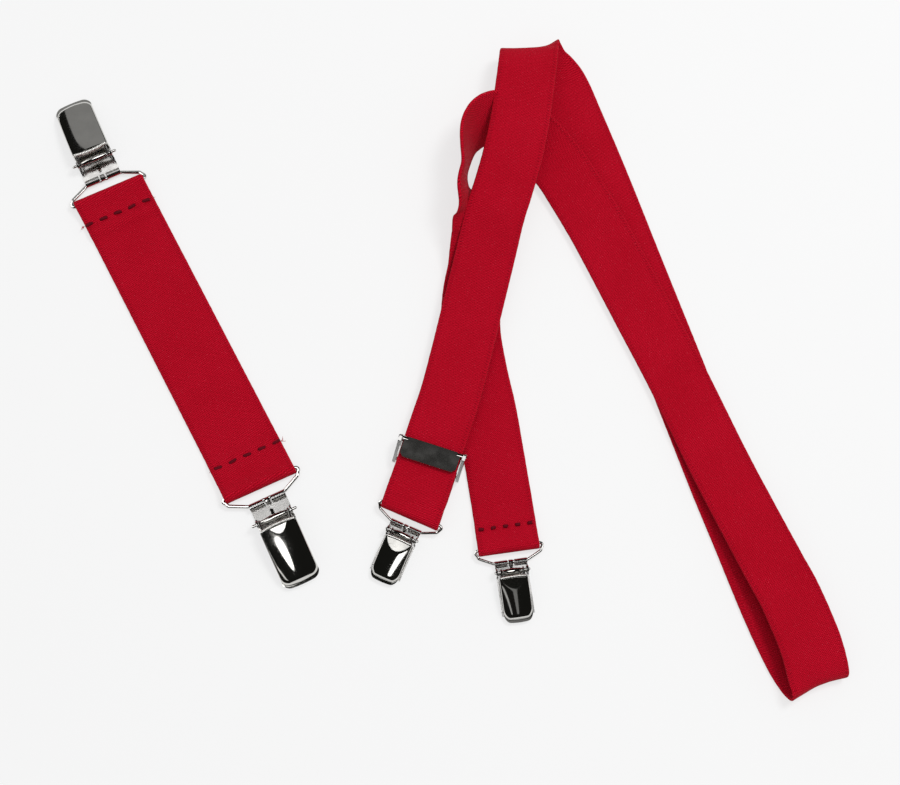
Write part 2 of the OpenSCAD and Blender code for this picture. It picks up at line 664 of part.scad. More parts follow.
// Domed cover as one closed shell
module cover_shell(s) {
    nu = 12;
    nv = 14;
    row = nv + 1;
    t = sheet_t(s);
    outer = [for (i = [0:nu]) for (j = [0:nv]) cover_point(s, i / nu, j / nv, 0)];
    inner = [for (i = [0:nu]) for (j = [0:nv]) cover_point(s, i / nu, j / nv, t)];
    m = len(outer);
    quads = [for (i = [0:nu - 1]) for (j = [0:nv - 1]) i * row + j];
    skin = [for (q = quads) each [[q, q + 1, q + row + 1], [q, q + row + 1, q + row]]];
    lining = [for (q = quads) each
        [[m + q, m + q + row + 1, m + q + 1], [m + q, m + q + row, m + q + row + 1]]];
    rims = [for (i = [0:nu - 1]) each
        [[i * row, i * row + row, m + i * row + row], [i * row, m + i * row + row, m + i * row],
         [i * row + nv, m + i * row + nv, m + i * row + nv + row],
         [i * row + nv, m + i * row + nv + row, i * row + nv + row]]];
    last = nu * row;
    hinge_edge = [for (j = [0:nv - 1]) each
        [[j, m + j, m + j + 1], [j, m + j + 1, j + 1]]];
    tip_edge = [for (j = [0:nv - 1]) each
        [[last + j, last + j + 1, m + last + j + 1], [last + j, m + last + j + 1, m + last + j]]];
    polyhedron(concat(outer, inner), concat(skin, lining, rims, hinge_edge, tip_edge),
               convexity = 6);
}

// Lever: domed cover, two inner ears on the pin and a cam bar under its hinge edge
module clip_lever(s) {
    t = sheet_t(s);
    ear_x = base_w(s) / 2 - t - 0.25;
    ear_in = min(ear_x, cover_hw(s, 0) - t - 0.15);
    r = ear_r(s) - 0.25;
    edge_y = cover_y(s);
    color(nickel) {
        cover_shell(s);
        for (x = [-ear_in, ear_in - t]) upright(x, t) difference() {
            union() {
                translate([pin_y(s), pin_z(s)]) circle(r);
                translate([pin_y(s), pin_z(s) - r])
                    square([edge_y - pin_y(s) + 1.2, r + cover_z(s) - pin_z(s) - t - 0.4]);
            }
            translate([pin_y(s), pin_z(s)]) circle(pin_d(s) / 2 + 0.05);
        }
        translate([0, edge_y + 0.6, pin_z(s) - r + 0.1]) rotate([0, 90, 0])
            cylinder(h = 2 * ear_in, r = 0.55, center = true);
    }
}

module clip_base_a() clip_frame("a") clip_base(BIG);
module clip_base_b() clip_frame("b") clip_base(BIG);
module clip_base_c() clip_frame("c") clip_base(SMALL);
module clip_base_d() clip_frame("d") clip_base(SMALL);
module grip_pad_a() clip_frame("a") grip_pad(BIG);
module grip_pad_b() clip_frame("b") grip_pad(BIG);
module grip_pad_c() clip_frame("c") grip_pad(SMALL);
module grip_pad_d() clip_frame("d") grip_pad(SMALL);
module clip_lever_a() clip_frame("a") clip_lever(BIG);
module clip_lever_b() clip_frame("b") clip_lever(BIG);
module clip_lever_c() clip_frame("c") clip_lever(SMALL);
module clip_lever_d() clip_frame("d") clip_lever(SMALL);
module pivot_pin_a() clip_frame("a") pivot_pin(BIG);
module pivot_pin_b() clip_frame("b") pivot_pin(BIG);
module pivot_pin_c() clip_frame("c") pivot_pin(SMALL);
module pivot_pin_d() clip_frame("d") pivot_pin(SMALL);

short_webbing();
short_hem_a();
short_hem_b();
short_stitching_a();
short_stitching_b();
long_front_run();
long_top_fold();
long_under_run();
long_corner_fold();
long_middle_run();
long_side_loop();
long_end_run();
long_hem_d();
long_stitching_d();
loop_front_webbing();
loop_return_webbing();
loop_turn_webbing();
loop_sewn_end();
loop_stitching();
adjuster_frame();
adjuster_lever();
bail_a();
bail_b();
bail_c();
bail_d();
clip_base_a();
clip_base_b();
clip_base_c();
clip_base_d();
grip_pad_a();
grip_pad_b();
grip_pad_c();
grip_pad_d();
clip_lever_a();
clip_lever_b();
clip_lever_c();
clip_lever_d();
pivot_pin_a();
pivot_pin_b();
pivot_pin_c();
pivot_pin_d();
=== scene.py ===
"""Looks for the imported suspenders: woven elastic, sewn ends, nickel-plated clips and adjuster.

Lengths are written in millimetres, and MM turns them to metres where a mesh is made.
"""
import json
import math
import random

import bmesh
import bpy
from mathutils import Matrix, Vector
from mathutils.noise import noise

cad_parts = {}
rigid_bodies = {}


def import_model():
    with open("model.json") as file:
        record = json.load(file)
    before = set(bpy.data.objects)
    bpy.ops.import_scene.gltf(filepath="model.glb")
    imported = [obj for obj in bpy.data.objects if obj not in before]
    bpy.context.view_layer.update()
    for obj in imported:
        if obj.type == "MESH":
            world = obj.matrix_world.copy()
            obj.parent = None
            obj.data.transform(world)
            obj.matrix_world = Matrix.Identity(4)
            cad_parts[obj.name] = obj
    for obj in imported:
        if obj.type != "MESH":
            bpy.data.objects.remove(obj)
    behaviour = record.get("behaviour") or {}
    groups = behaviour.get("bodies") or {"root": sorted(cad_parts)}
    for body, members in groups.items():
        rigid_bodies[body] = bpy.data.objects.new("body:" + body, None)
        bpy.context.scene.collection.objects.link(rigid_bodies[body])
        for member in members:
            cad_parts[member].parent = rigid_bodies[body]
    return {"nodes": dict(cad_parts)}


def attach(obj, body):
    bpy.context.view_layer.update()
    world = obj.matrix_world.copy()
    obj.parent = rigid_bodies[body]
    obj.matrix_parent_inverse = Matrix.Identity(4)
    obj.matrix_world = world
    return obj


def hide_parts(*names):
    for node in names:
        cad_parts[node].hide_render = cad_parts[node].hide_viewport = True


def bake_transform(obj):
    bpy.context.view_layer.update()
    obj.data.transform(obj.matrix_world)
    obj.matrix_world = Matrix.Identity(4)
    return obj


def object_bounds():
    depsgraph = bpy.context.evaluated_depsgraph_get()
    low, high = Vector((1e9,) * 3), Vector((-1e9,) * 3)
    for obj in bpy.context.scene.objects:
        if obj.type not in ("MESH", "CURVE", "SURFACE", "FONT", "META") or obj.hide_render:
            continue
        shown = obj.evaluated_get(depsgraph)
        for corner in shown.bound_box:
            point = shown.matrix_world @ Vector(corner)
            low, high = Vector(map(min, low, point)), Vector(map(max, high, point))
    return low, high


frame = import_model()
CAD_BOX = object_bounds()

MM = 0.001
random.seed(7)

# ---------------------------------------------------------------- the layout
# As part.scad has it, with the top fold and the side loop bent a little more smoothly. A station of a
# run is (x, y, z, heading of the width, its tilt).

SHORT_W, LONG_W, WEB_T = 25.0, 20.0, 1.2
END_A, HEADING_A = (-112.3, 60.8), 114.5
HEADING_B = -65.3
SHORT_LEN, HEADING_SHORT = 118.0, -61.8
END_C, HEADING_C = (-8.4, -53.5), -113.5
END_D, HEADING_D = (24.3, -64.3), -82.0
ADJ_AT, HEADING_ADJ = (-1.6, -33.0), 72.0
LOOP_BAR_Z, FRONT_Z = 3.6, 4.7

FRONT_RUN = [
    (-0.1, -28.4, 4.7, 162, 0), (2.3, -21, 4.7, 162, 0), (5.1, -12.4, 4.7, 162, 0),
    (8.3, 0, 4.8, 163, 0),
    (12.4, 17, 5.6, 165, 0), (16.6, 34, 8, 166, 0), (20, 48, 11, 166, 0),
    (22.8, 57, 12, 165, 0), (26, 68.5, 12.4, 166, 0), (28.6, 81, 12.6, 169, 0),
    (30.5, 94, 12.6, 174, 0)]
TOP_FOLD = [
    (31.6, 102.5, 12.2, 179, 0), (32.2, 107.8, 10.4, 181, -2), (33.0, 109.6, 7.0, 184, -2),
    (34.6, 108.6, 4.0, 189, 2), (37.9, 104.4, 2.2, 197, 5), (43, 99, 0.8, 203, 1)]
UNDER_RUN = [
    (48.6, 85, 0.65, 203, 0), (57, 62.5, 0.6, 203, 0), (66.5, 35.5, 0.6, 202, 0),
    (79.8, -2, 0.6, 203, 0), (93.3, -40, 0.6, 205, 0), (100.4, -59, 0.6, 205, 0),
    (108.9, -81.8, 0.6, 205, 0), (115, -96, 0.6, 205, 0)]
CORNER_FOLD = [
    (118.6, -102.6, 0.9, 204, 0), (121, -106, 2.6, 203, 0), (121.8, -105.9, 4.9, 202, 0),
    (121.3, -102.5, 6.5, 201, 0), (119, -93, 7, 200, 0)]
MIDDLE_RUN = [
    (113.8, -79, 6.6, 203, 0), (109, -69, 6, 205, 0), (100.3, -50.5, 4.6, 205, 0),
    (92.9, -34.2, 3.2, 204, 0), (80.6, -6, 2.2, 204, 0), (70.5, 15, 2.1, 205, 0),
    (56.2, 44.5, 2.1, 206, 0), (48, 59.5, 2.2, 209, 0), (43.4, 67, 2.6, 213, 0)]
SIDE_LOOP = [
    (38.4, 73.4, 3, 217, -4), (32.8, 79.2, 3.6, 225, -10), (27, 83.2, 4.9, 240, -23),
    (21, 84.3, 6.9, 262, -37), (15.6, 82.2, 9, 290, -56), (11.8, 77, 10.3, 322, -71),
    (10.2, 70, 10.6, 346, -82), (9.9, 63.5, 10.6, 356, -86), (10.3, 57.5, 10.2, 360, -72),
    (12.9, 52, 7.8, 364, -44), (14.1, 47, 6, 365, -32), (14.6, 42, 4.5, 365, -22),
    (14.2, 32, 2.6, 363, -9)]
END_RUN = [
    (14.2, 32, 2.6, 363, -9), (12.4, 22, 1.25, 361, -2), (12, 10, 0.65, 365, 0),
    (14.2, -4, 0.6, 371, 0), (17, -17, 0.6, 371, 0), (19.3, -31, 0.6, 369, 0),
    (21.2, -43, 0.6, 368, 0)]

# Camera: nearly overhead, tilted a little towards the viewer's side of the table
CAMERA_AIM = Vector((5, -10.5, 0)) * MM
CAMERA_TILT = math.radians(13)
CAMERA_DISTANCE = 0.520
PIXELS_PER_MM = 3.0
IMAGE_W = 900
SENSOR_W = 36.0


def along(heading):
    return Vector((math.cos(math.radians(heading)), math.sin(math.radians(heading)), 0))


def across(heading):
    return Vector((math.sin(math.radians(heading)), -math.cos(math.radians(heading)), 0))


END_B = tuple((Vector((*END_A, 0)) + SHORT_LEN * along(HEADING_SHORT)).xy)


def facing(at, heading):
    """Frame on the table at a point, +Y along a heading."""
    return Matrix.Translation((at[0] * MM, at[1] * MM, 0)) @ Matrix.Rotation(
        math.radians(heading - 90), 4, "Z")


# ---------------------------------------------------------------- camera, light and floor

def make_camera():
    data = bpy.data.cameras.new("camera")
    data.sensor_width = SENSOR_W
    data.lens = SENSOR_W * PIXELS_PER_MM * CAMERA_DISTANCE / MM / IMAGE_W
    data.clip_start = 0.01
    cam = bpy.data.objects.new("camera", data)
    bpy.context.scene.collection.objects.link(cam)
    back = Vector((0, -math.sin(CAMERA_TILT), math.cos(CAMERA_TILT)))
    cam.location = CAMERA_AIM + back * CAMERA_DISTANCE
    cam.rotation_euler = (CAMERA_TILT, 0, 0)
    bpy.context.scene.camera = cam


make_camera()


# ---------------------------------------------------------------- node helpers for materials

class Nodes:
    """Short ways to add and join shader nodes."""

    def __init__(self, name):
        self.mat = bpy.data.materials.new(name)
        self.mat.use_nodes = True
        self.tree = self.mat.node_tree
        self.bsdf = self.tree.nodes["Principled BSDF"]

    def add(self, kind, **values):
        n = self.tree.nodes.new(kind)
        for key, value in values.items():
            if key in n.inputs:
                n.inputs[key].default_value = value
            else:
                setattr(n, key, value)
        return n

    def link(self, a, b):
        self.tree.links.new(a, b)

    def math(self, op, a, b=None, c=None, clamp=False):
        n = self.tree.nodes.new("ShaderNodeMath")
        n.operation = op
        n.use_clamp = clamp
        for i, v in enumerate((a, b, c)):
            if v is None:
                continue
            if isinstance(v, (int, float)):
                n.inputs[i].default_value = v
            else:
                self.link(v, n.inputs[i])
        return n.outputs[0]

    def mix(self, fac, a, b, blend="MIX"):
        n = self.tree.nodes.new("ShaderNodeMix")
        n.data_type = "RGBA"
        n.blend_type = blend
        for key, v in ((0, fac), (6, a), (7, b)):
            if hasattr(v, "is_linked"):
                self.link(v, n.inputs[key])
            else:
                n.inputs[key].default_value = v
        return n.outputs[2]

    def noise(self, vector, scale, detail=2.0, rough=0.5):
        n = self.add("ShaderNodeTexNoise", Scale=scale, Detail=detail, Roughness=rough)
        if vector is not None:
            self.link(vector, n.inputs["Vector"])
        return n.outputs["Fac"]

    def ramp(self, fac, low, high):
        n = self.tree.nodes.new("ShaderNodeMapRange")
        n.clamp = True
        self.link(fac, n.inputs["Value"])
        n.inputs["From Min"].default_value = low
        n.inputs["From Max"].default_value = high
        return n.outputs[0]

    def bump(self, height, strength, distance, normal=None):
        n = self.add("ShaderNodeBump", Strength=strength, Distance=distance)
        self.link(height, n.inputs["Height"])
        if normal is not None:
            self.link(normal, n.inputs["Normal"])
        return n.outputs[0]

    def set(self, **values):
        for key, value in values.items():
            socket = self.bsdf.inputs[key.replace("_", " ")]
            if hasattr(value, "is_linked"):
                self.link(value, socket)
            else:
                socket.default_value = value
        return self.mat


def webbing_material(name, half_width_mm, slant):
    """Elastic webbing: twill floats in rows, fine specks, laddered selvedges, soft sheen."""
    m = Nodes(name)
    uv = m.add("ShaderNodeUVMap", uv_map="weave").outputs[0]
    split = m.add("ShaderNodeSeparateXYZ")
    m.link(uv, split.inputs[0])
    x, y = split.outputs[0], split.outputs[1]
    # wobble so that the rows aren't ruled lines
    wob = m.math("MULTIPLY", m.math("SUBTRACT", m.noise(uv, 0.55, 3.0), 0.5), 0.5)
    # twill: floats on a slanted lattice, a row every 0.6 mm
    rows = m.math("ADD", m.math("ADD", m.math("MULTIPLY", x, slant), y), wob)
    rows = m.math("MULTIPLY", rows, 10.2)
    cols = m.math("ADD", m.math("SUBTRACT", x, m.math("MULTIPLY", y, 0.28)), wob)
    cols = m.math("MULTIPLY", cols, 7.4)
    dots = m.math("MULTIPLY", m.math("SINE", rows), m.math("SINE", cols))
    line = m.math("SINE", rows)
    floats = m.math("ADD", m.math("MULTIPLY", dots, 0.55), m.math("MULTIPLY", line, 0.45))
    yarn = m.noise(uv, 2.6, 4.0, 0.75)
    weave = m.math("ADD", m.math("MULTIPLY", floats, 0.45), m.math("MULTIPLY", yarn, 1.15))
    # selvedge: a ladder of short dark ticks just inside each edge and a firm cord outside it
    edge = m.math("ABSOLUTE", x)
    band = m.math("MULTIPLY", m.ramp(edge, half_width_mm - 1.9, half_width_mm - 1.3),
                  m.math("SUBTRACT", 1.0, m.ramp(edge, half_width_mm - 0.9, half_width_mm - 0.55)))
    slope = m.math("ADD", y, m.math("MULTIPLY", edge, 0.35))
    tick = m.ramp(m.math("SINE", m.math("MULTIPLY", slope, 6.0)), 0.25, 0.95)
    ladder = m.math("MULTIPLY", band, tick)
    speck = m.math("ADD", m.noise(uv, 3.4, 2.0, 0.6), m.math("MULTIPLY", floats, 0.10))
    speck = m.ramp(speck, 0.70, 0.78)
    patch = m.noise(uv, 0.05, 3.0, 0.6)
    body = m.mix(m.ramp(weave, 0.2, 1.1), (0.17, 0.0, 0.002, 1), (0.66, 0.006, 0.030, 1))
    tint = m.mix(m.math("MULTIPLY", m.ramp(patch, 0.35, 0.7), 0.25), body, (0.26, 0.0, 0.004, 1))
    dark = m.mix(m.math("MULTIPLY", ladder, 0.35), tint, (0.09, 0.0, 0.004, 1))
    light = m.mix(m.math("MULTIPLY", speck, 0.6), dark, (0.85, 0.12, 0.19, 1))
    height = m.math("SUBTRACT", weave, m.math("MULTIPLY", ladder, 1.1))
    normal = m.bump(height, 0.55, 0.00022)
    rough = m.math("ADD", 0.74, m.math("MULTIPLY", yarn, 0.18))
    m.bsdf.inputs["Sheen Weight"].default_value = 0.05
    m.bsdf.inputs["Sheen Roughness"].default_value = 0.45
    m.bsdf.inputs["Sheen Tint"].default_value = (1.0, 0.45, 0.5, 1)
    m.bsdf.inputs["Specular IOR Level"].default_value = 0.06
    return m.set(Base_Color=light, Roughness=rough, Normal=normal)


def thread_material():
    """Twisted sewing thread, darker than the webbing."""
    m = Nodes("stitch_thread")
    uv = m.add("ShaderNodeUVMap", uv_map="weave").outputs[0]
    split = m.add("ShaderNodeSeparateXYZ")
    m.link(uv, split.inputs[0])
    twist = m.math("SINE", m.math("ADD", m.math("MULTIPLY", split.outputs[1], 22.0),
                                  m.math("MULTIPLY", split.outputs[0], 2 * math.pi)))
    fuzz = m.noise(None, 1800.0, 3.0)
    shade = m.math("ADD", m.math("MULTIPLY", twist, 0.3), fuzz)
    colour = m.mix(m.ramp(shade, 0.2, 0.9), (0.030, 0.001, 0.003, 1), (0.20, 0.008, 0.018, 1))
    m.bsdf.inputs["Specular IOR Level"].default_value = 0.1
    return m.set(Base_Color=colour, Roughness=m.math("ADD", 0.6, m.math("MULTIPLY", fuzz, 0.2)),
                 Normal=m.bump(shade, 0.5, 0.00008))


def nickel_material(name, colour, rough, seed):
    """Polished nickel plate: faint orange peel, hair scratches, smudges, rubbed edges."""
    m = Nodes(name)
    where = m.add("ShaderNodeTexCoord").outputs["Object"]
    place = m.add("ShaderNodeMapping")
    place.inputs["Location"].default_value = (seed, 0.31 * seed, 0)
    m.link(where, place.inputs["Vector"])
    at = place.outputs[0]
    smudge = m.noise(at, 140.0, 4.0, 0.6)
    peel = m.noise(at, 900.0, 2.0)
    streak = m.add("ShaderNodeMapping")
    streak.inputs["Scale"].default_value = (1.0, 14.0, 3.0)
    streak.inputs["Rotation"].default_value = (0, 0, 0.4 + seed)
    m.link(at, streak.inputs["Vector"])
    scratch = m.ramp(m.noise(streak.outputs[0], 520.0, 3.0, 0.7), 0.64, 0.72)
    edge = m.ramp(m.add("ShaderNodeNewGeometry").outputs["Pointiness"], 0.53, 0.60)
    tone = m.mix(m.ramp(smudge, 0.35, 0.75), (*colour, 1), (*(0.86 * c for c in colour), 1))
    worn = m.mix(m.math("MULTIPLY", edge, 0.5), tone, (0.93, 0.91, 0.88, 1))
    gloss = m.math("ADD", rough, m.math("ADD", m.math("MULTIPLY", m.ramp(smudge, 0.45, 0.8), 0.10),
                                        m.math("MULTIPLY", scratch, 0.12)))
    normal = m.bump(peel, 0.03, 0.00001)
    normal = m.bump(scratch, 0.05, 0.000005, normal)
    m.bsdf.inputs["Metallic"].default_value = 1.0
    return m.set(Base_Color=worn, Roughness=gloss, Normal=normal)


def pad_material():
    """Moulded grip pad: cloudy soft plastic with fine moulding grain."""
    m = Nodes("moulded_pad")
    grain = m.noise(None, 1500.0, 3.0)
    cloud = m.noise(None, 220.0, 2.0)
    colour = m.mix(m.ramp(cloud, 0.35, 0.7), (0.78, 0.76, 0.70, 1), (0.66, 0.64, 0.58, 1))
    m.bsdf.inputs["Subsurface Weight"].default_value = 0.15
    m.bsdf.inputs["Subsurface Radius"].default_value = (0.002, 0.002, 0.0015)
    return m.set(Base_Color=colour, Roughness=m.math("ADD", 0.42, m.math("MULTIPLY", grain, 0.2)),
                 Normal=m.bump(grain, 0.2, 0.00005))


def floor_material():
    m = Nodes("pale_table")
    grain = m.noise(None, 60.0, 3.0)
    colour = m.mix(grain, (0.215, 0.215, 0.215, 1), (0.22, 0.22, 0.22, 1))
    m.bsdf.inputs["Specular IOR Level"].default_value = 0.0
    m.bsdf.inputs["Emission Color"].default_value = (1, 1, 1, 1)
    m.bsdf.inputs["Emission Strength"].default_value = 0.685
    return m.set(Base_Color=colour, Roughness=0.95)


SHORT_WEB = webbing_material("woven_elastic_wide", SHORT_W / 2, 0.16)
LONG_WEB = webbing_material("woven_elastic_narrow", LONG_W / 2, 0.75)
THREAD = thread_material()
PLATE = nickel_material("nickel_plate", (0.66, 0.65, 0.62), 0.07, 0.0)
STAMPED = nickel_material("nickel_stamping", (0.80, 0.79, 0.78), 0.20, 0.7)
WIRE = nickel_material("bright_wire", (0.72, 0.71, 0.69), 0.12, 1.3)
PAD = pad_material()


# ---------------------------------------------------------------- mesh helpers

def new_object(name, verts, faces, material, uvs=None, smooth=True):
    mesh = bpy.data.meshes.new(name)
    mesh.from_pydata([tuple(v) for v in verts], [], faces)
    if uvs is not None:
        layer = mesh.uv_layers.new(name="weave")
        for poly in mesh.polygons:
            for li, vi in zip(poly.loop_indices, poly.vertices):
                layer.data[li].uv = uvs[vi] if not callable(uvs) else uvs(poly, vi)
    mesh.materials.append(material)
    for poly in mesh.polygons:
        poly.use_smooth = smooth
    mesh.update()
    obj = bpy.data.objects.new(name, mesh)
    bpy.context.scene.collection.objects.link(obj)
    return obj


def catmull(points, step):
    """Rows of numbers on a smooth line through rows of numbers, about `step` apart."""
    out = []
    n = len(points)
    for k in range(n - 1):
        p1, p2 = points[k], points[k + 1]
        p0 = points[k - 1] if k else [2 * a - b for a, b in zip(p1, p2)]
        p3 = points[k + 2] if k + 2 < n else [2 * b - a for a, b in zip(p1, p2)]
        far = math.dist(p1[:3], p2[:3])
        count = max(1, round(far / step))
        for j in range(count):
            u = j / count
            out.append([0.5 * (2 * b + (c - a) * u + (2 * a - 5 * b + 4 * c - d) * u * u
                               + (3 * b - a - 3 * c + d) * u ** 3)
                        for a, b, c, d in zip(p0, p1, p2, p3)])
    out.append(list(points[-1]))
    return out


RIBBON_STEP = 0.7
PICK_PITCH = 1.9    # between the ripples along an edge


def width_vector(az, el):
    a, e = math.radians(az), math.radians(el)
    return Vector((math.cos(a) * math.cos(e), math.sin(a) * math.cos(e), math.sin(e)))


def ribbon_rings(stations):
    """(centre, width direction) rings through stations, in mm."""
    rows = catmull([list(s) for s in stations], RIBBON_STEP)
    rings = []
    for i, row in enumerate(rows):
        a, b = rows[max(i - 1, 0)], rows[min(i + 1, len(rows) - 1)]
        t = (Vector(b[:3]) - Vector(a[:3])).normalized()
        w = width_vector(row[3], row[4])
        w = (w - t * w.dot(t)).normalized()
        rings.append((Vector(row[:3]), w))
    return rings


def section(width, thick):
    """Half-rounded outline of the webbing: (across, up) from one edge round to the other."""
    hw, ht = width / 2, thick / 2
    cols = 26 if width < 22 else 34
    top = []
    for j in range(cols + 1):
        x = -hw + 0.45 + (width - 0.9) * j / cols
        near = hw - abs(x)
        top.append((x, ht * (0.93 + 0.07 * math.exp(-((near - 0.9) / 0.7) ** 2))))
    side = [(hw - 0.12, ht * 0.62), (hw, 0.0), (hw - 0.12, -ht * 0.62)]
    bottom = [(x, -z) for x, z in reversed(top)]
    return top + side + bottom + [(-x, -z) for x, z in side]


def tube_faces(base, steps, rounds, flip=False):
    """Faces of a tube with flat ends, its rounds of vertices following each other from `base` on."""
    faces = []
    for i in range(steps):
        for j in range(rounds):
            a, b = base + i * rounds + j, base + i * rounds + (j + 1) % rounds
            faces.append((a, a + rounds, b + rounds, b) if flip else (a, b, b + rounds, a + rounds))
    ends = [[base + k * rounds + j for j in range(rounds)] for k in (0, steps)]
    ends[1 if flip else 0].reverse()
    return faces + [tuple(e) for e in ends]


def ribbon(name, rings, width, material, arc0=0.0, dents=None, thick=WEB_T):
    """Closed webbing mesh through (centre, width vector) rings, with a woven-in UV map in mm."""
    shape = section(width, thick)
    n = len(shape)
    verts, uvs = [], []
    arc = arc0
    for i, (c, w) in enumerate(rings):
        a, b = rings[max(i - 1, 0)][0], rings[min(i + 1, len(rings) - 1)][0]
        t = (b - a).normalized()
        up = t.cross(w).normalized()
        if i:
            arc += (c - rings[i - 1][0]).length
        ripple = math.sin(arc * 2 * math.pi / PICK_PITCH) + noise(Vector((arc * 0.9, width, 0)))
        ripple *= 0.05
        for x, z in shape:
            edge = abs(x) / (width / 2)
            reach = x + (math.copysign(ripple, x) if edge > 0.93 else 0.0)
            lift = 0.035 * noise(Vector((x * 0.5, arc * 0.5, 3.0)))
            if dents:
                lift -= dents(x, arc, z)
            verts.append((c + w * reach + up * (z + lift)) * MM)
            uvs.append((x, arc))
    faces = [tuple(reversed(f)) for f in tube_faces(0, len(rings) - 1, n)]
    obj = new_object(name, verts, faces, material, uvs)
    cut_ends(obj, n, (len(rings) - 1) * n)
    return obj, arc


def cut_ends(obj, n, last):
    """Flat faces with sharp borders where the webbing is cut across."""
    mesh = obj.data
    for poly in mesh.polygons:
        if len(poly.vertices) > 4:
            poly.use_smooth = False
    for edge in mesh.edges:
        a, b = edge.vertices
        if max(a, b) < n or min(a, b) >= last:
            edge.use_edge_sharp = True


def profile_rings(at, heading, line, w, strap_heading=None):
    """Rings for a line of (y, z) points in the upright plane along a heading."""
    u = along(heading)
    p0 = Vector((*at, 0))
    if strap_heading is not None:
        u = along(strap_heading) / math.cos(math.radians(heading - strap_heading))
    return [(p0 + u * y + Vector((0, 0, z)), w) for y, z in line]


def arc_points(cy, cz, r, start, stop, count):
    """Points on an arc about (cy, cz) in the upright plane; 0 degrees is outwards, 90 up."""
    return [(cy + r * math.cos(math.radians(start + (stop - start) * i / count)),
             cz + r * math.sin(math.radians(start + (stop - start) * i / count)))
            for i in range(count + 1)]


def even(line, step=RIBBON_STEP):
    """A line of (y, z) points smoothed and spaced evenly."""
    return [(p[0], p[1]) for p in catmull([[y, z, 0.0] for y, z in line], step)]


# ---------------------------------------------------------------- webbing

WEB_GAP = 0.3
BIG_WIRE, SMALL_WIRE = 1.3, 1.0
LAYER = 0.1
SHORT_HEM, LONG_HEM = 14.0, 12.0
ROW_A, ROW_B, ROW_D = 9.6, 12.3, 8.8
SEWN_LEN, TURN_LEN = 11.5, 6.0
BAR_D, BAR_GAP, BAR_Y = 1.2, 0.1, -3.6
LOOP_ROW = 8.6


def hem_profile(wire, hem, row):
    """Doubled sewn end, fold edge at y 0: the tail under, round the bar and back on top."""
    t = WEB_T
    r = wire / 2 + WEB_GAP + t / 2
    out = r + t / 2
    top = t / 2 + t + LAYER * 0.4
    tail = [(min(3.0 - hem, -row - 1.0), t / 2), (-row + 1.5, t / 2), (-out - 3.2, t / 2 + 0.02)]
    turn = arc_points(-out, t / 2 + r, r, -90, 90, 12)
    back = [(-out - 1.8, top + 1.05), (-out - 4.0, top + 0.25), (-row, top - 0.12),
            (0.8 - hem, top - 0.1), (-0.8 - hem, t / 2 + 0.45), (-2.2 - hem, t / 2)]
    return tail, turn, back


def stitch_dents(rows):
    """Hollows that a row of stitches pulls into the top face; rows are (arc, offsets, dash, slope)."""
    def dent(x, arc, z):
        if z < 0:
            return 0.0
        deep = 0.0
        for at, offsets, dash, slope in rows:
            d = arc - at - slope * x
            if abs(d) > 2.2:
                continue
            pull = 0.16 * math.exp(-(d / 0.9) ** 2)
            for o in offsets:
                e = max(0.0, abs(x - o) - dash / 2)
                pull += 0.42 * math.exp(-(d / 0.6) ** 2) * math.exp(-(e / 0.35) ** 2)
            deep = max(deep, pull)
        return deep
    return dent


def row_offsets(count, pitch):
    return [(i - (count - 1) / 2) * pitch for i in range(count)]


def thread_row(name, at, heading, y, z, offsets, dash, body, node, spread=0.25, skew=0.0):
    """Separate stitches of a row: each a bowed, tapered length of twisted thread."""
    verts, faces, uvs = [], [], []
    frame_m = facing(at, heading)
    rounds, steps = 10, 10
    for k, o in enumerate(offsets):
        half = dash / 2 + 0.1
        turn = 0.12 * math.sin(k * 2.3 + 1)
        base = len(verts)
        for i in range(steps + 1):
            s = -1 + 2 * i / steps
            px = o + s * half * math.cos(turn)
            py = y + s * half * math.sin(turn) + skew * px
            pz = z - 0.04 - 0.35 * abs(s) ** 5
            r = spread * (1 - 0.3 * s ** 8) + 0.012 * math.sin(i * 2.6 + k)
            for j in range(rounds):
                a = 2 * math.pi * j / rounds
                spot = Vector((px, py + 1.15 * r * math.cos(a), pz + r * math.sin(a)))
                verts.append(frame_m @ (spot * MM))
                uvs.append((j / rounds, px))
        faces += tube_faces(base, steps, rounds, flip=True)
    obj = new_object(name, verts, faces, THREAD, uvs)
    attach(obj, body)
    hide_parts(node)


def lint(name, where, body):
    """Frayed yarn ends that poke out where the cut end of the webbing is folded under."""
    def scatter(low, high):
        return Vector((random.uniform(-0.5, 0.5), random.uniform(-0.5, 0.5), random.uniform(low, high)))

    verts, faces, uvs = [], [], []
    segs, rounds = 4, 5
    up = Vector((0, 0, 1))
    for spot, out, count in where:
        for k in range(count):
            p = spot + scatter(0.1, 0.9)
            d = (out + scatter(-0.1, 0.45)).normalized()
            length = random.uniform(0.5, 1.1)
            side = d.cross(up).normalized()
            base = len(verts)
            for i in range(segs + 1):
                s = i / segs
                c = p + d * length * s + side * 0.25 * math.sin(2.2 * s + k) - up * 0.25 * s * s
                r = 0.11 * (1 - 0.6 * s)
                for j in range(rounds):
                    a = 2 * math.pi * j / rounds
                    verts.append((c + side * r * math.cos(a) + up * r * math.sin(a)) * MM)
                    uvs.append((j / rounds, s))
            faces += tube_faces(base, segs, rounds)
    obj = new_object(name, verts, faces, SHORT_WEB, uvs)
    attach(obj, body)


def rings_length(rings):
    return sum((rings[i + 1][0] - rings[i][0]).length for i in range(len(rings) - 1))


def arc_at(rings, index):
    return rings_length(rings[:index + 1])


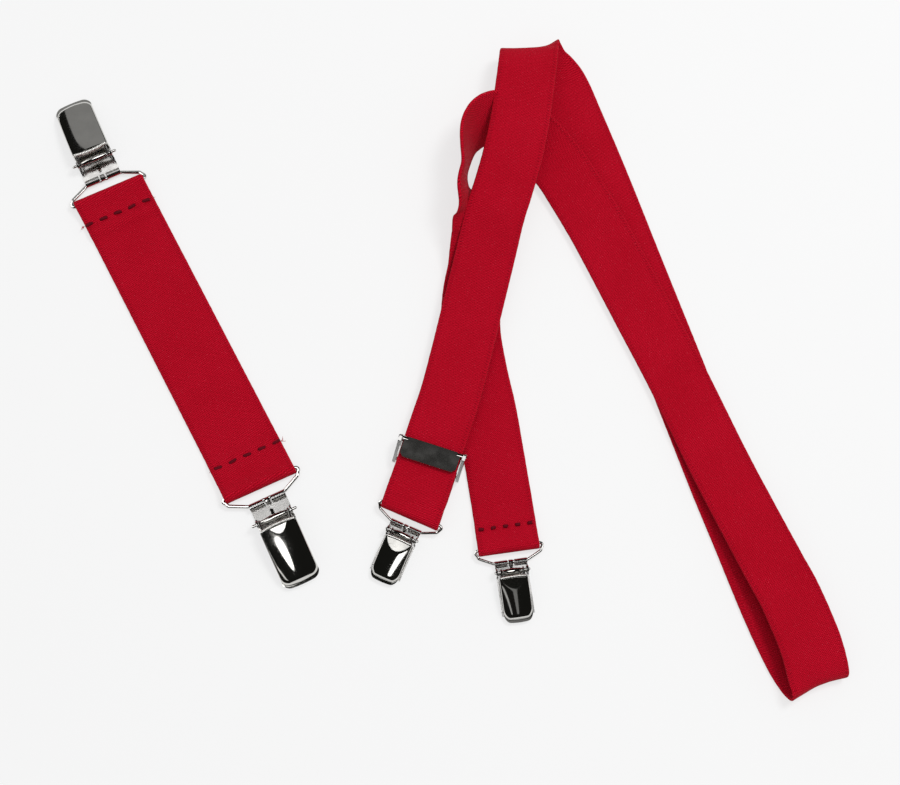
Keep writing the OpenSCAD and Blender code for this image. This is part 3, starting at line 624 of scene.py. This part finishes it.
def make_short_strap():
    tail, turn, back = hem_profile(BIG_WIRE, SHORT_HEM, ROW_A)
    tail_b, turn_b, back_b = hem_profile(BIG_WIRE, SHORT_HEM, ROW_B)
    a_line = even(tail) + turn[1:-1] + even([turn[-1]] + back)
    b_line = even(tail_b) + turn_b[1:-1] + even([turn_b[-1]] + back_b)
    skew_a = math.radians(HEADING_A - (HEADING_SHORT + 180))
    skew_b = math.radians(HEADING_B - HEADING_SHORT)
    # width to the left of the way from end a to end b, so that the outer face is the upper one
    wa = across(HEADING_A) / math.cos(skew_a)
    wb = -across(HEADING_B) / math.cos(skew_b)
    first = profile_rings(END_A, HEADING_A, a_line, wa, HEADING_SHORT + 180)
    last = profile_rings(END_B, HEADING_B, b_line, wb, HEADING_SHORT)
    last.reverse()
    p, q = first[-1], last[0]
    count = int((q[0] - p[0]).length / RIBBON_STEP)
    middle = []
    square = -across(HEADING_SHORT)
    ease = 0.12    # share of the way over which the width turns square to the strap
    for i in range(1, count):
        u = i / count
        if u < ease:
            w = p[1].lerp(square, u / ease)
        elif u > 1 - ease:
            w = square.lerp(q[1], (u - 1 + ease) / ease)
        else:
            w = square
        middle.append((p[0].lerp(q[0], u), w))
    rings = first + middle + last
    ya = next(i for i in range(len(even(tail)) + 12, len(first)) if a_line[i][0] < -ROW_A)
    yb = next(i for i in range(len(even(tail_b)) + 12, len(last)) if b_line[i][0] < -ROW_B)
    arc_a = arc_at(rings, ya)
    arc_b = rings_length(rings[:len(first) + len(middle) + (len(last) - 1 - yb) + 1])
    offsets = row_offsets(5, 5.2)
    dents = stitch_dents([(arc_a, offsets, 2.6, 0.0), (arc_b, offsets, 2.6, 0.0)])
    strap, _ = ribbon("short_elastic", rings, SHORT_W, SHORT_WEB, dents=dents)
    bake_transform(strap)
    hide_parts("short_webbing", "short_hem_a", "short_hem_b")
    z_row = 2 * WEB_T + LAYER - 0.18
    for letter, at, heading, row, body in (("a", END_A, HEADING_A, ROW_A, "short_strap"),
                                           ("b", END_B, HEADING_B, ROW_B, "short_end")):
        tail_end = Vector((*at, WEB_T)) - along(heading) * row
        where = [(tail_end + across(heading) * side * (SHORT_W / 2 - 0.2), across(heading) * side, 7)
                 for side in (-1, 1)]
        lint("frayed_yarn_" + letter, where, body)
    thread_row("short_stitches_a", END_A, HEADING_A, -ROW_A, z_row, offsets, 2.6,
               "short_strap", "short_stitching_a", 0.46)
    thread_row("short_stitches_b", END_B, HEADING_B, -ROW_B, z_row, offsets, 2.6,
               "short_end", "short_stitching_b", 0.46)


def make_long_strap():
    stations = FRONT_RUN + TOP_FOLD + UNDER_RUN + CORNER_FOLD + MIDDLE_RUN + SIDE_LOOP
    rings = ribbon_rings(stations)
    main, arc = ribbon("long_elastic", rings, LONG_W, LONG_WEB)
    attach(main, "long_strap")
    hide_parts("long_front_run", "long_top_fold", "long_under_run", "long_corner_fold",
                "long_middle_run", "long_side_loop")

    tail, turn, back = hem_profile(SMALL_WIRE, LONG_HEM, ROW_D)
    line = list(reversed(even(tail) + turn[1:-1] + even([turn[-1]] + back)))
    w = -across(HEADING_D)
    hem = profile_rings(END_D, HEADING_D, line, w)
    z = WEB_T / 2
    u = along(HEADING_D)
    joint = [(END_D[0] + s * u.x, END_D[1] + s * u.y, z, HEADING_D + 450, 0)
             for s in (-LONG_HEM - 5.5, -LONG_HEM - 3.2)]
    run = ribbon_rings(END_RUN + joint)
    end_rings = run + hem[1:]
    k = len(run) - 1 + next(i for i, (y, _) in enumerate(line) if y > -ROW_D)
    offsets = row_offsets(5, 4.0)
    at = arc + arc_at(end_rings, k)
    end, _ = ribbon("long_elastic_end", end_rings, LONG_W, LONG_WEB, arc0=arc,
                    dents=stitch_dents([(at, offsets, 1.7, 0.0)]))
    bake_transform(end)
    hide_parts("long_end_run", "long_hem_d")
    thread_row("long_stitches", END_D, HEADING_D, -ROW_D, 2 * WEB_T + LAYER - 0.2, offsets, 1.5,
               "long_end", "long_stitching_d", 0.44)


def make_looped_end():
    """Webbing from its end, sewn on the adjuster's bar, round the bail and up to the front run."""
    t = WEB_T
    w = -across(HEADING_ADJ)
    u = along(HEADING_ADJ)
    adj = Vector((*ADJ_AT, 0))
    bar_r = BAR_D / 2 + BAR_GAP + t / 2
    bar_z = t + 0.05 + BAR_GAP + BAR_D / 2
    low_z = t / 2 + 0.05
    up_z = low_z + t + LAYER
    sewn_line = (even([(2 - SEWN_LEN, up_z), (BAR_Y - 4.2, up_z), (BAR_Y - 2.4, up_z + 0.75),
                       (BAR_Y - 1.0, bar_z + bar_r - 0.1)])
                 + arc_points(BAR_Y, bar_z, bar_r, 90, -90, 12)
                 + even([(BAR_Y - 1, low_z), (-SEWN_LEN, low_z)]))
    sewn = profile_rings(ADJ_AT, HEADING_ADJ, sewn_line, w)

    r = SMALL_WIRE / 2 + WEB_GAP + t / 2
    out = r + t / 2
    top, low = LOOP_BAR_Z + r, LOOP_BAR_Z - r
    turn_line = ([(y, low) for y in (-TURN_LEN, -5.0, -4.0, -3.0)]
                 + arc_points(-out, LOOP_BAR_Z, r, -90, 90, 14)
                 + [(y, top) for y in (-3.0, -4.0, -5.0, -TURN_LEN)])
    skew = math.radians(HEADING_C - (HEADING_ADJ - 180))
    turn = profile_rings(END_C, HEADING_C, turn_line, across(HEADING_C) / math.cos(skew),
                         HEADING_ADJ - 180)
    turn[0] = (turn[0][0], w)
    turn[-1] = (turn[-1][0], w)

    def stretch(points):
        return [(Vector(row), w) for row in catmull([list(p) for p in points], RIBBON_STEP)]

    a, b = sewn[-1][0], turn[0][0]
    back = stretch([a, a - u * 0.5, b + u * 0.5, b])
    c, d = turn[-1][0], Vector(FRONT_RUN[0][:3])
    front = stretch([c, c + u * 1.5, adj - u * 6.5 + Vector((0, 0, FRONT_Z)),
                     adj + Vector((0, 0, FRONT_Z)), d])
    parts = [("loop_sewn_elastic", sewn + back[1:], ("loop_sewn_end", "loop_return_webbing")),
             ("loop_turn_elastic", turn, ("loop_turn_webbing",)),
             ("loop_front_elastic", front, ("loop_front_webbing",))]
    offsets = row_offsets(4, 4.0)
    arc = -sum(rings_length(rings) for _, rings, _ in parts)
    row_at = arc + (SEWN_LEN - 2) - (LOOP_ROW - BAR_Y)
    made = {}
    for name, rings, nodes in parts:
        dents = stitch_dents([(row_at, offsets, 1.7, 0.0)]) if name == "loop_sewn_elastic" else None
        obj, arc = ribbon(name, rings, LONG_W, LONG_WEB, arc0=arc, dents=dents)
        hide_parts(*nodes)
        made[name] = obj
    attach(made["loop_turn_elastic"], "loop_end")
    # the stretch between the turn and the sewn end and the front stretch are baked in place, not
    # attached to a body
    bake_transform(made["loop_sewn_elastic"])
    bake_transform(made["loop_front_elastic"])
    thread_row("loop_stitches", ADJ_AT, HEADING_ADJ, -LOOP_ROW, 2 * WEB_T + LAYER, offsets, 1.5,
               "adjuster", "loop_stitching", 0.3)


make_short_strap()
make_long_strap()
make_looped_end()


# ---------------------------------------------------------------- metal parts

def tube(name, path, radius, material, rounds):
    """Closed round wire along a smooth path of points in mm."""
    n = len(path)
    verts, faces = [], []
    prev = None
    for i in range(n):
        a, b = path[(i - 1) % n], path[(i + 1) % n]
        t = (b - a).normalized()
        side = t.cross(Vector((0, 0, 1)))
        side = side.normalized() if side.length > 1e-6 else prev
        prev = side
        up = side.cross(t)
        for j in range(rounds):
            ang = 2 * math.pi * j / rounds
            verts.append((path[i] + radius * (side * math.cos(ang) + up * math.sin(ang))) * MM)
    for i in range(n):
        for j in range(rounds):
            a, b = i * rounds + j, i * rounds + (j + 1) % rounds
            c, d = ((i + 1) % n) * rounds + (j + 1) % rounds, ((i + 1) % n) * rounds + j
            faces.append((a, b, c, d))
    return new_object(name, verts, faces, material)


def own_copy(node, name, material, bevel_mm):
    """A finely finished copy of a CAD part: same shape, edges rounded, smooth where round."""
    source = frame["nodes"][node]
    source = source if isinstance(source, bpy.types.Object) else bpy.data.objects[node]
    mesh = source.data.copy()
    obj = bpy.data.objects.new(name, mesh)
    bpy.context.scene.collection.objects.link(obj)
    bm = bmesh.new()
    bm.from_mesh(mesh)
    bmesh.ops.remove_doubles(bm, verts=bm.verts, dist=1e-7)
    bmesh.ops.dissolve_limit(bm, angle_limit=math.radians(2), verts=bm.verts, edges=bm.edges)
    bm.to_mesh(mesh)
    bm.free()
    mesh.materials.clear()
    mesh.materials.append(material)
    for poly in mesh.polygons:
        poly.use_smooth = True
    soften(obj, bevel_mm, 2, 38, False)
    even_out = obj.modifiers.new("flat faces", "WEIGHTED_NORMAL")
    even_out.weight = 90
    return obj


def plate(name, outline, low, high, material, bevel_mm, place):
    """Flat stamping: an outline in X-Y given thickness from low to high, its edges rounded."""
    n = len(outline)
    verts = [place @ (Vector((x, y, z)) * MM) for z in (low, high) for x, y in outline]
    faces = [tuple(reversed(range(n))), tuple(range(n, 2 * n))]
    faces += [(i, (i + 1) % n, n + (i + 1) % n, n + i) for i in range(n)]
    obj = new_object(name, verts, faces, material)
    soften(obj, bevel_mm)
    return obj


def soften(obj, bevel_mm, segments=3, over_deg=35, harden=True):
    """Bevel the edges that are sharper than an angle."""
    mod = obj.modifiers.new("rounded", "BEVEL")
    mod.width = bevel_mm * MM
    mod.segments = segments
    mod.limit_method = "ANGLE"
    mod.angle_limit = math.radians(over_deg)
    mod.harden_normals = harden


# Sizes of the two kinds of clip: webbing and wire, bail, base, pin, cover, sheet metal
BIG = dict(web=SHORT_W, wire=1.3, bail=6.5, base=12.6, length=27.6, pin_y=6.5, pin_z=4.2,
           pin_d=1.0, pin_len=16.0, cover=12.8, cover_len=21.2, cover_z=6.6, sheet=0.6)
SMALL = dict(web=LONG_W, wire=1.0, bail=5.2, base=10.6, length=18.4, pin_y=3.0, pin_z=3.0,
             pin_d=0.9, pin_len=11.8, cover=9.3, cover_len=15.4, cover_z=5.0, sheet=0.5)
ARM_ANGLE, LEG_GAP, WIRE_CLEAR, EAR_OVER_PIN = 22.0, 0.5, 0.08, 0.85

for kind in (BIG, SMALL):
    kind["out"] = kind["wire"] / 2 + WEB_GAP + WEB_T
    kind["roll_z"] = kind["wire"] / 2 + WIRE_CLEAR + kind["sheet"]
    kind["ear_r"] = kind["pin_d"] / 2 + EAR_OVER_PIN
    kind["cover_y"] = kind["pin_y"] + (kind["ear_r"] + 0.85 if kind is BIG else 1.1)

ENDS = {
    "a": (BIG, END_A, HEADING_A, BIG["out"]), "b": (BIG, END_B, HEADING_B, BIG["out"]),
    "c": (SMALL, END_C, HEADING_C, LOOP_BAR_Z), "d": (SMALL, END_D, HEADING_D, SMALL["out"])}


def bail_lean(end):
    """How far a bail leans down from its webbing's turn to its clip's roll."""
    k, _, _, bar_z = ENDS[end]
    return math.asin((bar_z - k["roll_z"]) / k["bail"])


def clip_place(end):
    """Frame of a clip: its roll's axis over the origin, +Y out along the clip."""
    k, at, heading, _ = ENDS[end]
    lean = bail_lean(end)
    return facing(at, heading) @ Matrix.Translation(
        (0, (k["bail"] * math.cos(lean) - k["out"]) * MM, 0))


def bail_path(k, steps=9):
    """Closed line of a bail in its own plane, wide bar on the X axis."""
    d = k["wire"]
    far = k["web"] / 2 + LEG_GAP + d / 2
    near = (k["base"] / 2 + 0.35, k["bail"])
    knee = (far, k["bail"] - (far - near[0]) * math.tan(math.radians(ARM_ANGLE)))
    right = [near, knee, (far, 0.0)]
    corners = right + [(-x, y) for x, y in reversed(right)]
    path = []
    n = len(corners)
    bends = [1.3 * d, 1.6 * d, 1.0 * d]
    bends += bends[::-1]
    for i in range(n):
        r = bends[i]
        p, c, q = (Vector((*corners[j % n], 0)) for j in (i - 1, i, i + 1))
        u, v = (p - c).normalized(), (q - c).normalized()
        turn = math.pi - u.angle(v)
        cut = r * math.tan(turn / 2)
        centre = c + (u + v).normalized() * (r / math.cos(turn / 2))
        start, stop = c + u * cut - centre, c + v * cut - centre
        for s in range(steps + 1):
            path.append(centre + start.slerp(stop, s / steps) * r / start.length)
    # split the straight stretches too, into points about 0.9 mm apart
    full = []
    for i, a in enumerate(path):
        b = path[(i + 1) % len(path)]
        count = max(1, int((b - a).length / 0.9))
        full += [a.lerp(b, j / count) for j in range(count)]
    return full


def make_bail(end):
    k, at, heading, bar_z = ENDS[end]
    place = (facing(at, heading) @ Matrix.Translation((0, -k["out"] * MM, bar_z * MM))
             @ Matrix.Rotation(-bail_lean(end), 4, "X"))
    path = [place @ (p * MM) / MM for p in bail_path(k)]
    obj = tube("bail_wire_" + end, path, k["wire"] / 2, WIRE, 24)
    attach(obj, "bail_" + end)
    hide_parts("bail_" + end)


# How deep, as a share of the dome, and how steeply the flat facet cuts each clip's cover
FACETS = {"a": None, "b": (0.042, 0.075), "c": (0.16, 0.115), "d": (0.16, 0.115)}


def cover_height(k, x, y, rim, cut):
    """Height of the cover's skin: a dome, cut by a flat facet that rises from the hinge edge."""
    u = y / k["cover_len"]
    crown = k["cover_z"] - rim
    tip = max(0.0, (u - 0.2) / 0.8)
    ridge = rim + crown * (1 - 0.66 * tip ** 1.9)
    half = k["cover"] / 2
    bow = 0.17 * crown * (1 + 1.1 * tip)
    dome = ridge - bow * (x / half) ** 2
    if cut is None:
        return dome - 0.05 * crown * max(0.0, 1 - u / 0.16) ** 2
    facet = k["cover_z"] - cut[0] * crown + cut[1] * (y - 1.3)
    # smooth minimum of the two, so that the facet's edge is softly rounded
    soft = 0.10 if cut[0] > 0.1 else 0.03
    h = max(0.0, min(1.0, 0.5 + (facet - dome) / (2 * soft)))
    return facet * (1 - h) + dome * h - soft * h * (1 - h)


def cover_grid(k, inset, rim, cut):
    """Rows of points from the hinge edge to the tip, each from one rim over to the other."""
    rows = []
    nu, nv = 64, 48
    length = k["cover_len"] - 1.0
    half = k["cover"] / 2 - inset
    shoulder = 0.6 if k is BIG else 0.35
    for i in range(nu + 1):
        u = i / nu
        u = u if u < 0.7 else 0.7 + 0.3 * math.sin((u - 0.7) / 0.3 * math.pi / 2)
        row = []
        for j in range(nv + 1):
            v = -1 + 2 * j / nv
            # across: up the wall, round the shoulder and over the top
            wall = 0.14
            if abs(v) > 1 - wall:
                x, drop = half, 1.0 - (1 - abs(v)) / wall
                lift = None
            else:
                s = (1 - wall - abs(v)) / (1 - wall)
                x = half - half * s ** 1.35 if s < 0.999 else 0.0
                drop, lift = 0.0, s
            x = math.copysign(x, v)
            near = abs(x) / half
            corner = max(0.0, (near - 0.6) / 0.4)
            end = length - 0.5 * near ** 2 - 2.6 * (1 - math.sqrt(1 - 0.92 * corner ** 2))
            y = 1.0 + u * (end - inset)
            top = cover_height(k, x, y, rim, cut) - inset
            edge = max(0.0, shoulder - (half - abs(x)))
            top -= shoulder - math.sqrt(max(0.0, shoulder ** 2 - edge ** 2)) if edge > 0 else 0.0
            over = max(0.0, (y - (end - 1.5)) / 1.5)
            top -= (top - rim) * (1 - math.sqrt(max(0.0, 1 - min(1.0, over) ** 2))) * 0.97
            z = top - (top - rim) * drop
            row.append(Vector((x, y, z)))
        rows.append(row)
    return rows


def cam_barrel(name, half, bore, place, reach):
    """Sleeve round the pin between the ears, fullest in its middle."""
    steps, rounds = 24, 28
    verts, faces = [], []
    for i in range(steps + 1):
        x = -half + 2 * half * i / steps
        outer = bore + 0.12 + (reach - bore - 0.14) * (1 - (x / half) ** 2)
        for radius in (outer, bore):
            for j in range(rounds):
                a = 2 * math.pi * j / rounds
                verts.append(place @ (Vector((x, radius * math.cos(a), radius * math.sin(a))) * MM))
    row = 2 * rounds
    for i in range(steps):
        for j in range(rounds):
            a, b = i * row + j, i * row + (j + 1) % rounds
            faces.append((a, b, b + row, a + row))
            faces.append((a + rounds, a + row + rounds, b + row + rounds, b + rounds))
    for base, step in ((0, 1), (steps * row, -1)):
        for j in range(rounds):
            a, b = base + j, base + (j + 1) % rounds
            faces.append((a, a + rounds, b + rounds, b)[::step])
    return new_object(name, verts, faces, PLATE)


def make_lever(end):
    k = ENDS[end][0]
    place = clip_place(end) @ Matrix.Translation((0, k["cover_y"] * MM, 0))
    t = k["sheet"]
    rim = 1.5 * t + 0.85
    outer = cover_grid(k, 0.0, rim, FACETS[end])
    inner = cover_grid(k, t, rim, FACETS[end])
    nu, nv = len(outer) - 1, len(outer[0]) - 1
    verts = [place @ (p * MM) for rows in (outer, inner) for row in rows for p in row]
    m, row = (nu + 1) * (nv + 1), nv + 1
    faces = []
    for i in range(nu):
        for j in range(nv):
            a = i * row + j
            faces.append((a, a + 1, a + row + 1, a + row))
            faces.append((m + a, m + a + row, m + a + row + 1, m + a + 1))
    for i in range(nu):
        a, b = i * row, i * row + nv
        faces.append((a, a + row, m + a + row, m + a))
        faces.append((b, m + b, m + b + row, b + row))
    for j in range(nv):
        a = nu * row + j
        faces.append((j, m + j, m + j + 1, j + 1))
        faces.append((a, a + 1, m + a + 1, m + a))
    cover = new_object("cover_" + end, verts, faces, PLATE)

    # rolled hinge lip with fine teeth on its outer side
    half = k["cover"] / 2 - 0.5
    lip_r = 0.62 if k is BIG else 0.5
    count, rounds = 170, 22
    verts = []
    for i in range(count + 1):
        x = -half + 2 * half * i / count
        tooth = 0.045 * (1 + math.sin(x * 2 * math.pi / 0.52))
        bow = (0.55 if k is BIG else 0.2) * (1 - (x / half) ** 2)
        for j in range(rounds):
            a = 2 * math.pi * j / rounds
            r = lip_r - (tooth if math.sin(a) > 0.1 and math.cos(a) < 0.5 else 0.0)
            verts.append(place @ (Vector((x, 0.95 - bow + r * math.cos(a),
                                          k["cover_z"] - lip_r - 0.12 + r * math.sin(a))) * MM))
    lip = new_object("lever_lip_" + end, verts, tube_faces(0, count, rounds), PLATE)

    # two ears that carry the cover on the pin, and the cam bar between them
    pin_dy = k["pin_y"] - k["cover_y"]
    r = k["ear_r"] - 0.25
    ear = k["base"] / 2 - t - 0.25
    ear = min(ear, k["cover"] / 2 * 0.96 - t - 0.15)
    outline = [(pin_dy + r * math.cos(math.radians(a)), k["pin_z"] + r * math.sin(math.radians(a)))
               for a in range(90, 271, 12)]
    outline += [(0.9, k["pin_z"] - r), (1.3, k["pin_z"] - r + 0.6), (1.3, k["cover_z"] - t - 0.35),
                (0.4, k["cover_z"] - 0.5)]
    turn = Matrix(((0, 0, 1, 0), (1, 0, 0, 0), (0, 1, 0, 0), (0, 0, 0, 1)))
    barrel = cam_barrel("lever_barrel_" + end, ear - t - 0.05, k["pin_d"] / 2 + 0.06,
                        place @ Matrix.Translation(Vector((0, pin_dy, k["pin_z"])) * MM), r)
    pieces = [cover, lip, barrel]
    for side in (-1, 1):
        low, high = sorted((side * ear, side * (ear - t)))
        name = f"lever_ear_{end}_{'l' if side < 0 else 'r'}"
        pieces.append(plate(name, outline, low, high, STAMPED, 0.12, place @ turn))
    for obj in pieces:
        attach(obj, "lever_" + end)
    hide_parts("clip_lever_" + end)


def make_clip(end):
    k = ENDS[end][0]
    wide, deep = (2.4, 2.6) if k is BIG else (1.5, 1.3)
    mid = 0.62 * (k["pin_y"] - k["ear_r"]) + 0.8
    outline = [(-wide, mid - deep), (wide, mid - deep), (wide, mid + deep), (-wide, mid + deep)]
    tongue = plate("slot_tongue_" + end, outline, -0.32, -0.04, PLATE, 0.05, clip_place(end))
    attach(tongue, "clip_" + end)
    for node, material, bevel, slot_name in (
            ("clip_base_", STAMPED, 0.12, "nickel_plate"), ("pivot_pin_", WIRE, 0.05, "nickel_plate"),
            ("grip_pad_", PAD, 0.08, "clear_pad")):
        obj = own_copy(node + end, node.rstrip("_") + "_shown_" + end, material, bevel)
        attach(obj, "clip_" + end)
        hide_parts(node + end)


for end_name in ENDS:
    make_bail(end_name)
    make_lever(end_name)
    make_clip(end_name)

for node, body, name, material in (("adjuster_frame", "adjuster", "adjuster_frame_shown", STAMPED),
                                   ("adjuster_lever", "adjuster_lever", "adjuster_plate_shown", PLATE)):
    part = own_copy(node, name, material, 0.38 if material is PLATE else 0.15)
    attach(part, body)
    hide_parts(node)


# ---------------------------------------------------------------- the table and the light

FLOOR_HALF = 1.6
FLOOR_GAP = 0.00002


def make_floor():
    corners = [(FLOOR_HALF * x, FLOOR_HALF * y, 0) for x, y in ((-1, -1), (1, -1), (1, 1), (-1, 1))]
    floor = new_object("table_top", corners, [(0, 1, 2, 3)], floor_material(), smooth=False)
    floor.location.z = CAD_BOX[0][2] - FLOOR_GAP


def area_light(name, size, power, diffuse=True, glossy=True):
    """Unplaced area light that the camera doesn't see: square, or an ellipse if it has two sizes."""
    data = bpy.data.lights.new(name, "AREA")
    data.energy = power
    if isinstance(size, tuple):
        data.shape = "ELLIPSE"
        data.size, data.size_y = size
    else:
        data.shape = "SQUARE"
        data.size = size
    obj = bpy.data.objects.new(name, data)
    bpy.context.scene.collection.objects.link(obj)
    obj.visible_diffuse = diffuse
    obj.visible_glossy = glossy
    obj.visible_camera = False
    return obj


def aim_down(light, where):
    """Put a light somewhere and turn it to the frame's origin."""
    light.location = where
    light.rotation_euler = (-Vector(where)).to_track_quat("-Z", "Y").to_euler()


def make_light():
    world = bpy.data.worlds.new("studio")
    bpy.context.scene.world = world
    world.use_nodes = True
    tree = world.node_tree
    back = tree.nodes["Background"]
    path = tree.nodes.new("ShaderNodeLightPath")
    mix = tree.nodes.new("ShaderNodeMix")
    mix.data_type = "RGBA"
    mix.inputs[6].default_value = (0.55, 0.55, 0.555, 1)
    mix.inputs[7].default_value = (0.010, 0.010, 0.009, 1)
    tree.links.new(path.outputs["Is Glossy Ray"], mix.inputs[0])
    tree.links.new(mix.outputs[2], back.inputs["Color"])
    back.inputs["Strength"].default_value = 1.0
    aim_down(area_light("key", 0.30, 6.0, glossy=False), (0.45, 0.30, 0.95))
    aim_down(area_light("fill", 1.0, 3.0, glossy=False), (0, 0, 1.2))
    for box in SOFT_BOXES:
        mirror_box(*box)
    wires = bpy.data.collections.new("wires")
    for obj in bpy.context.scene.objects:
        if obj.name.startswith(("bail_wire_", "pivot_pin_shown_", "lever_barrel_", "lever_lip_")):
            wires.objects.link(obj)
    for name, where, size, power in (("wires_left", (-0.5, 0.1, 0.35), 0.5, 2.2),
                                     ("wires_right", (0.5, -0.1, 0.45), 0.4, 1.4),
                                     ("wires_high", (0.0, 0.0, 0.9), 0.30, 1.2)):
        light = area_light(name, size, power, diffuse=False)
        aim_down(light, where)
        light.light_linking.receiver_collection = wires


# Soft boxes that only one clip or one part of the adjuster reflects: name, end, spot, size across,
# size along, brightness. A clip's spot is a share of its cover's half width and of its length, and a
# negative length means the flat neck. The adjuster's spot is the tilt of the mirror across and along.
SOFT_BOXES = [
    ("sheen_a", "a", (0.50, 0.50), 0.80, 1.50, 0.068),
    ("glint_a", "a", (-0.98, 0.85), 0.02, 0.12, 0.5),
    ("neck_a", "a", (0.3, -0.2), 0.16, 0.14, 0.25),
    ("drop_b", "b", (0.22, 0.46), 0.15, 0.34, 0.8),
    ("facet_b", "b", (0.0, 0.05), 0.06, 0.06, 0.8),
    ("neck_b", "b", (0.6, -0.2), 0.07, 0.09, 0.26),
    ("rim_b", "b", (0.99, 0.5), 0.03, 0.5, 0.3),
    ("streak_c", "c", (-0.45, 0.55), 0.15, 0.44, 0.6),
    ("facet_c", "c", (0.0, 0.10), 0.05, 0.05, 0.40),
    ("neck_c", "c", (0.2, -0.2), 0.10, 0.09, 0.36),
    ("warm_d", "d", (0.05, 0.45), 0.10, 0.60, 0.05),
    ("side_d", "d", (0.60, 0.55), 0.05, 0.40, 0.12),
    ("neck_d", "d", (0.0, -0.2), 0.10, 0.09, 0.36),
    ("plate_dim", "adjuster_plate", (0.0, 0.0), 0.30, 0.012, 0.02),
    ("plate_left", "adjuster_plate", (-0.9, 0.0), 0.40, 0.40, 0.6),
    ("plate_low", "adjuster_plate", (0.0, -0.9), 0.40, 0.40, 0.6),
    ("frame_top", "adjuster_frame", (0.0, 0.0), 0.30, 0.30, 0.30),
    ("frame_low", "adjuster_frame", (0.0, -0.75), 0.30, 0.30, 0.16)]


CLIP_METAL = ("cover_{}", "lever_lip_{}", "lever_ear_{}_l", "lever_ear_{}_r", "lever_barrel_{}",
              "clip_base_shown_{}", "pivot_pin_shown_{}", "bail_wire_{}")


def metal_of(end, base_only):
    """Collection of a clip's shown metal pieces, of its base alone, or of a part of the adjuster."""
    name = ("base_" if base_only else "metal_") + end
    made = bpy.data.collections.get(name)
    if made:
        return made
    made = bpy.data.collections.new(name)
    if end.startswith("adjuster"):
        stems = ("{}_shown",)
    else:
        stems = ("clip_base_shown_{}",) if base_only else CLIP_METAL
    for stem in stems:
        made.objects.link(bpy.data.objects[stem.format(end)])
    return made


BOX_DISTANCE, BOX_LOWEST = 0.6, 0.12


def mirror_box(name, end, spot, wide, deep, bright):
    """Soft box placed so that the camera sees it in one spot of a polished part."""
    if end.startswith("adjuster"):
        place = facing(ADJ_AT, HEADING_ADJ)
        point, normal = Vector((0, 0, 7 * MM)), Vector((spot[0], spot[1], 1))
    else:
        k = ENDS[end][0]
        place = clip_place(end)
        x, y = spot[0] * k["cover"] / 2, max(spot[1], 0.0) * k["cover_len"]
        rim = 1.5 * k["sheet"] + 0.85
        if spot[1] < 0:
            normal = Vector((0, 0, 1))
            point = Vector((0, 2.0, 2.0)) * MM
        else:
            def height(dx, dy):
                return cover_height(k, x + dx, y + dy, rim, FACETS[end])

            d = 0.05
            normal = Vector((height(-d, 0) - height(d, 0), height(0, -d) - height(0, d), 2 * d))
            point = Vector((x, y + k["cover_y"], 5)) * MM
    point = place @ point
    normal = (place.to_3x3() @ normal).normalized()
    view = (bpy.context.scene.camera.location - point).normalized()
    out = (2 * normal.dot(view) * normal - view).normalized()
    where = point + out * BOX_DISTANCE
    where.z = max(where.z, BOX_LOWEST)
    obj = area_light(name, (wide, deep), bright * math.pi ** 2 * wide * deep, diffuse=False)
    back = (where - point).normalized()
    ahead = place.to_3x3() @ Vector((0, 1, 0))
    side = ahead.cross(back).normalized()
    ahead = back.cross(side)
    turn = Matrix((side, ahead, back)).transposed().to_4x4()
    obj.matrix_world = Matrix.Translation(where) @ turn
    obj.light_linking.receiver_collection = metal_of(end, name.startswith("neck"))


make_floor()
make_light()
bpy.context.scene.view_settings.view_transform = "Standard"
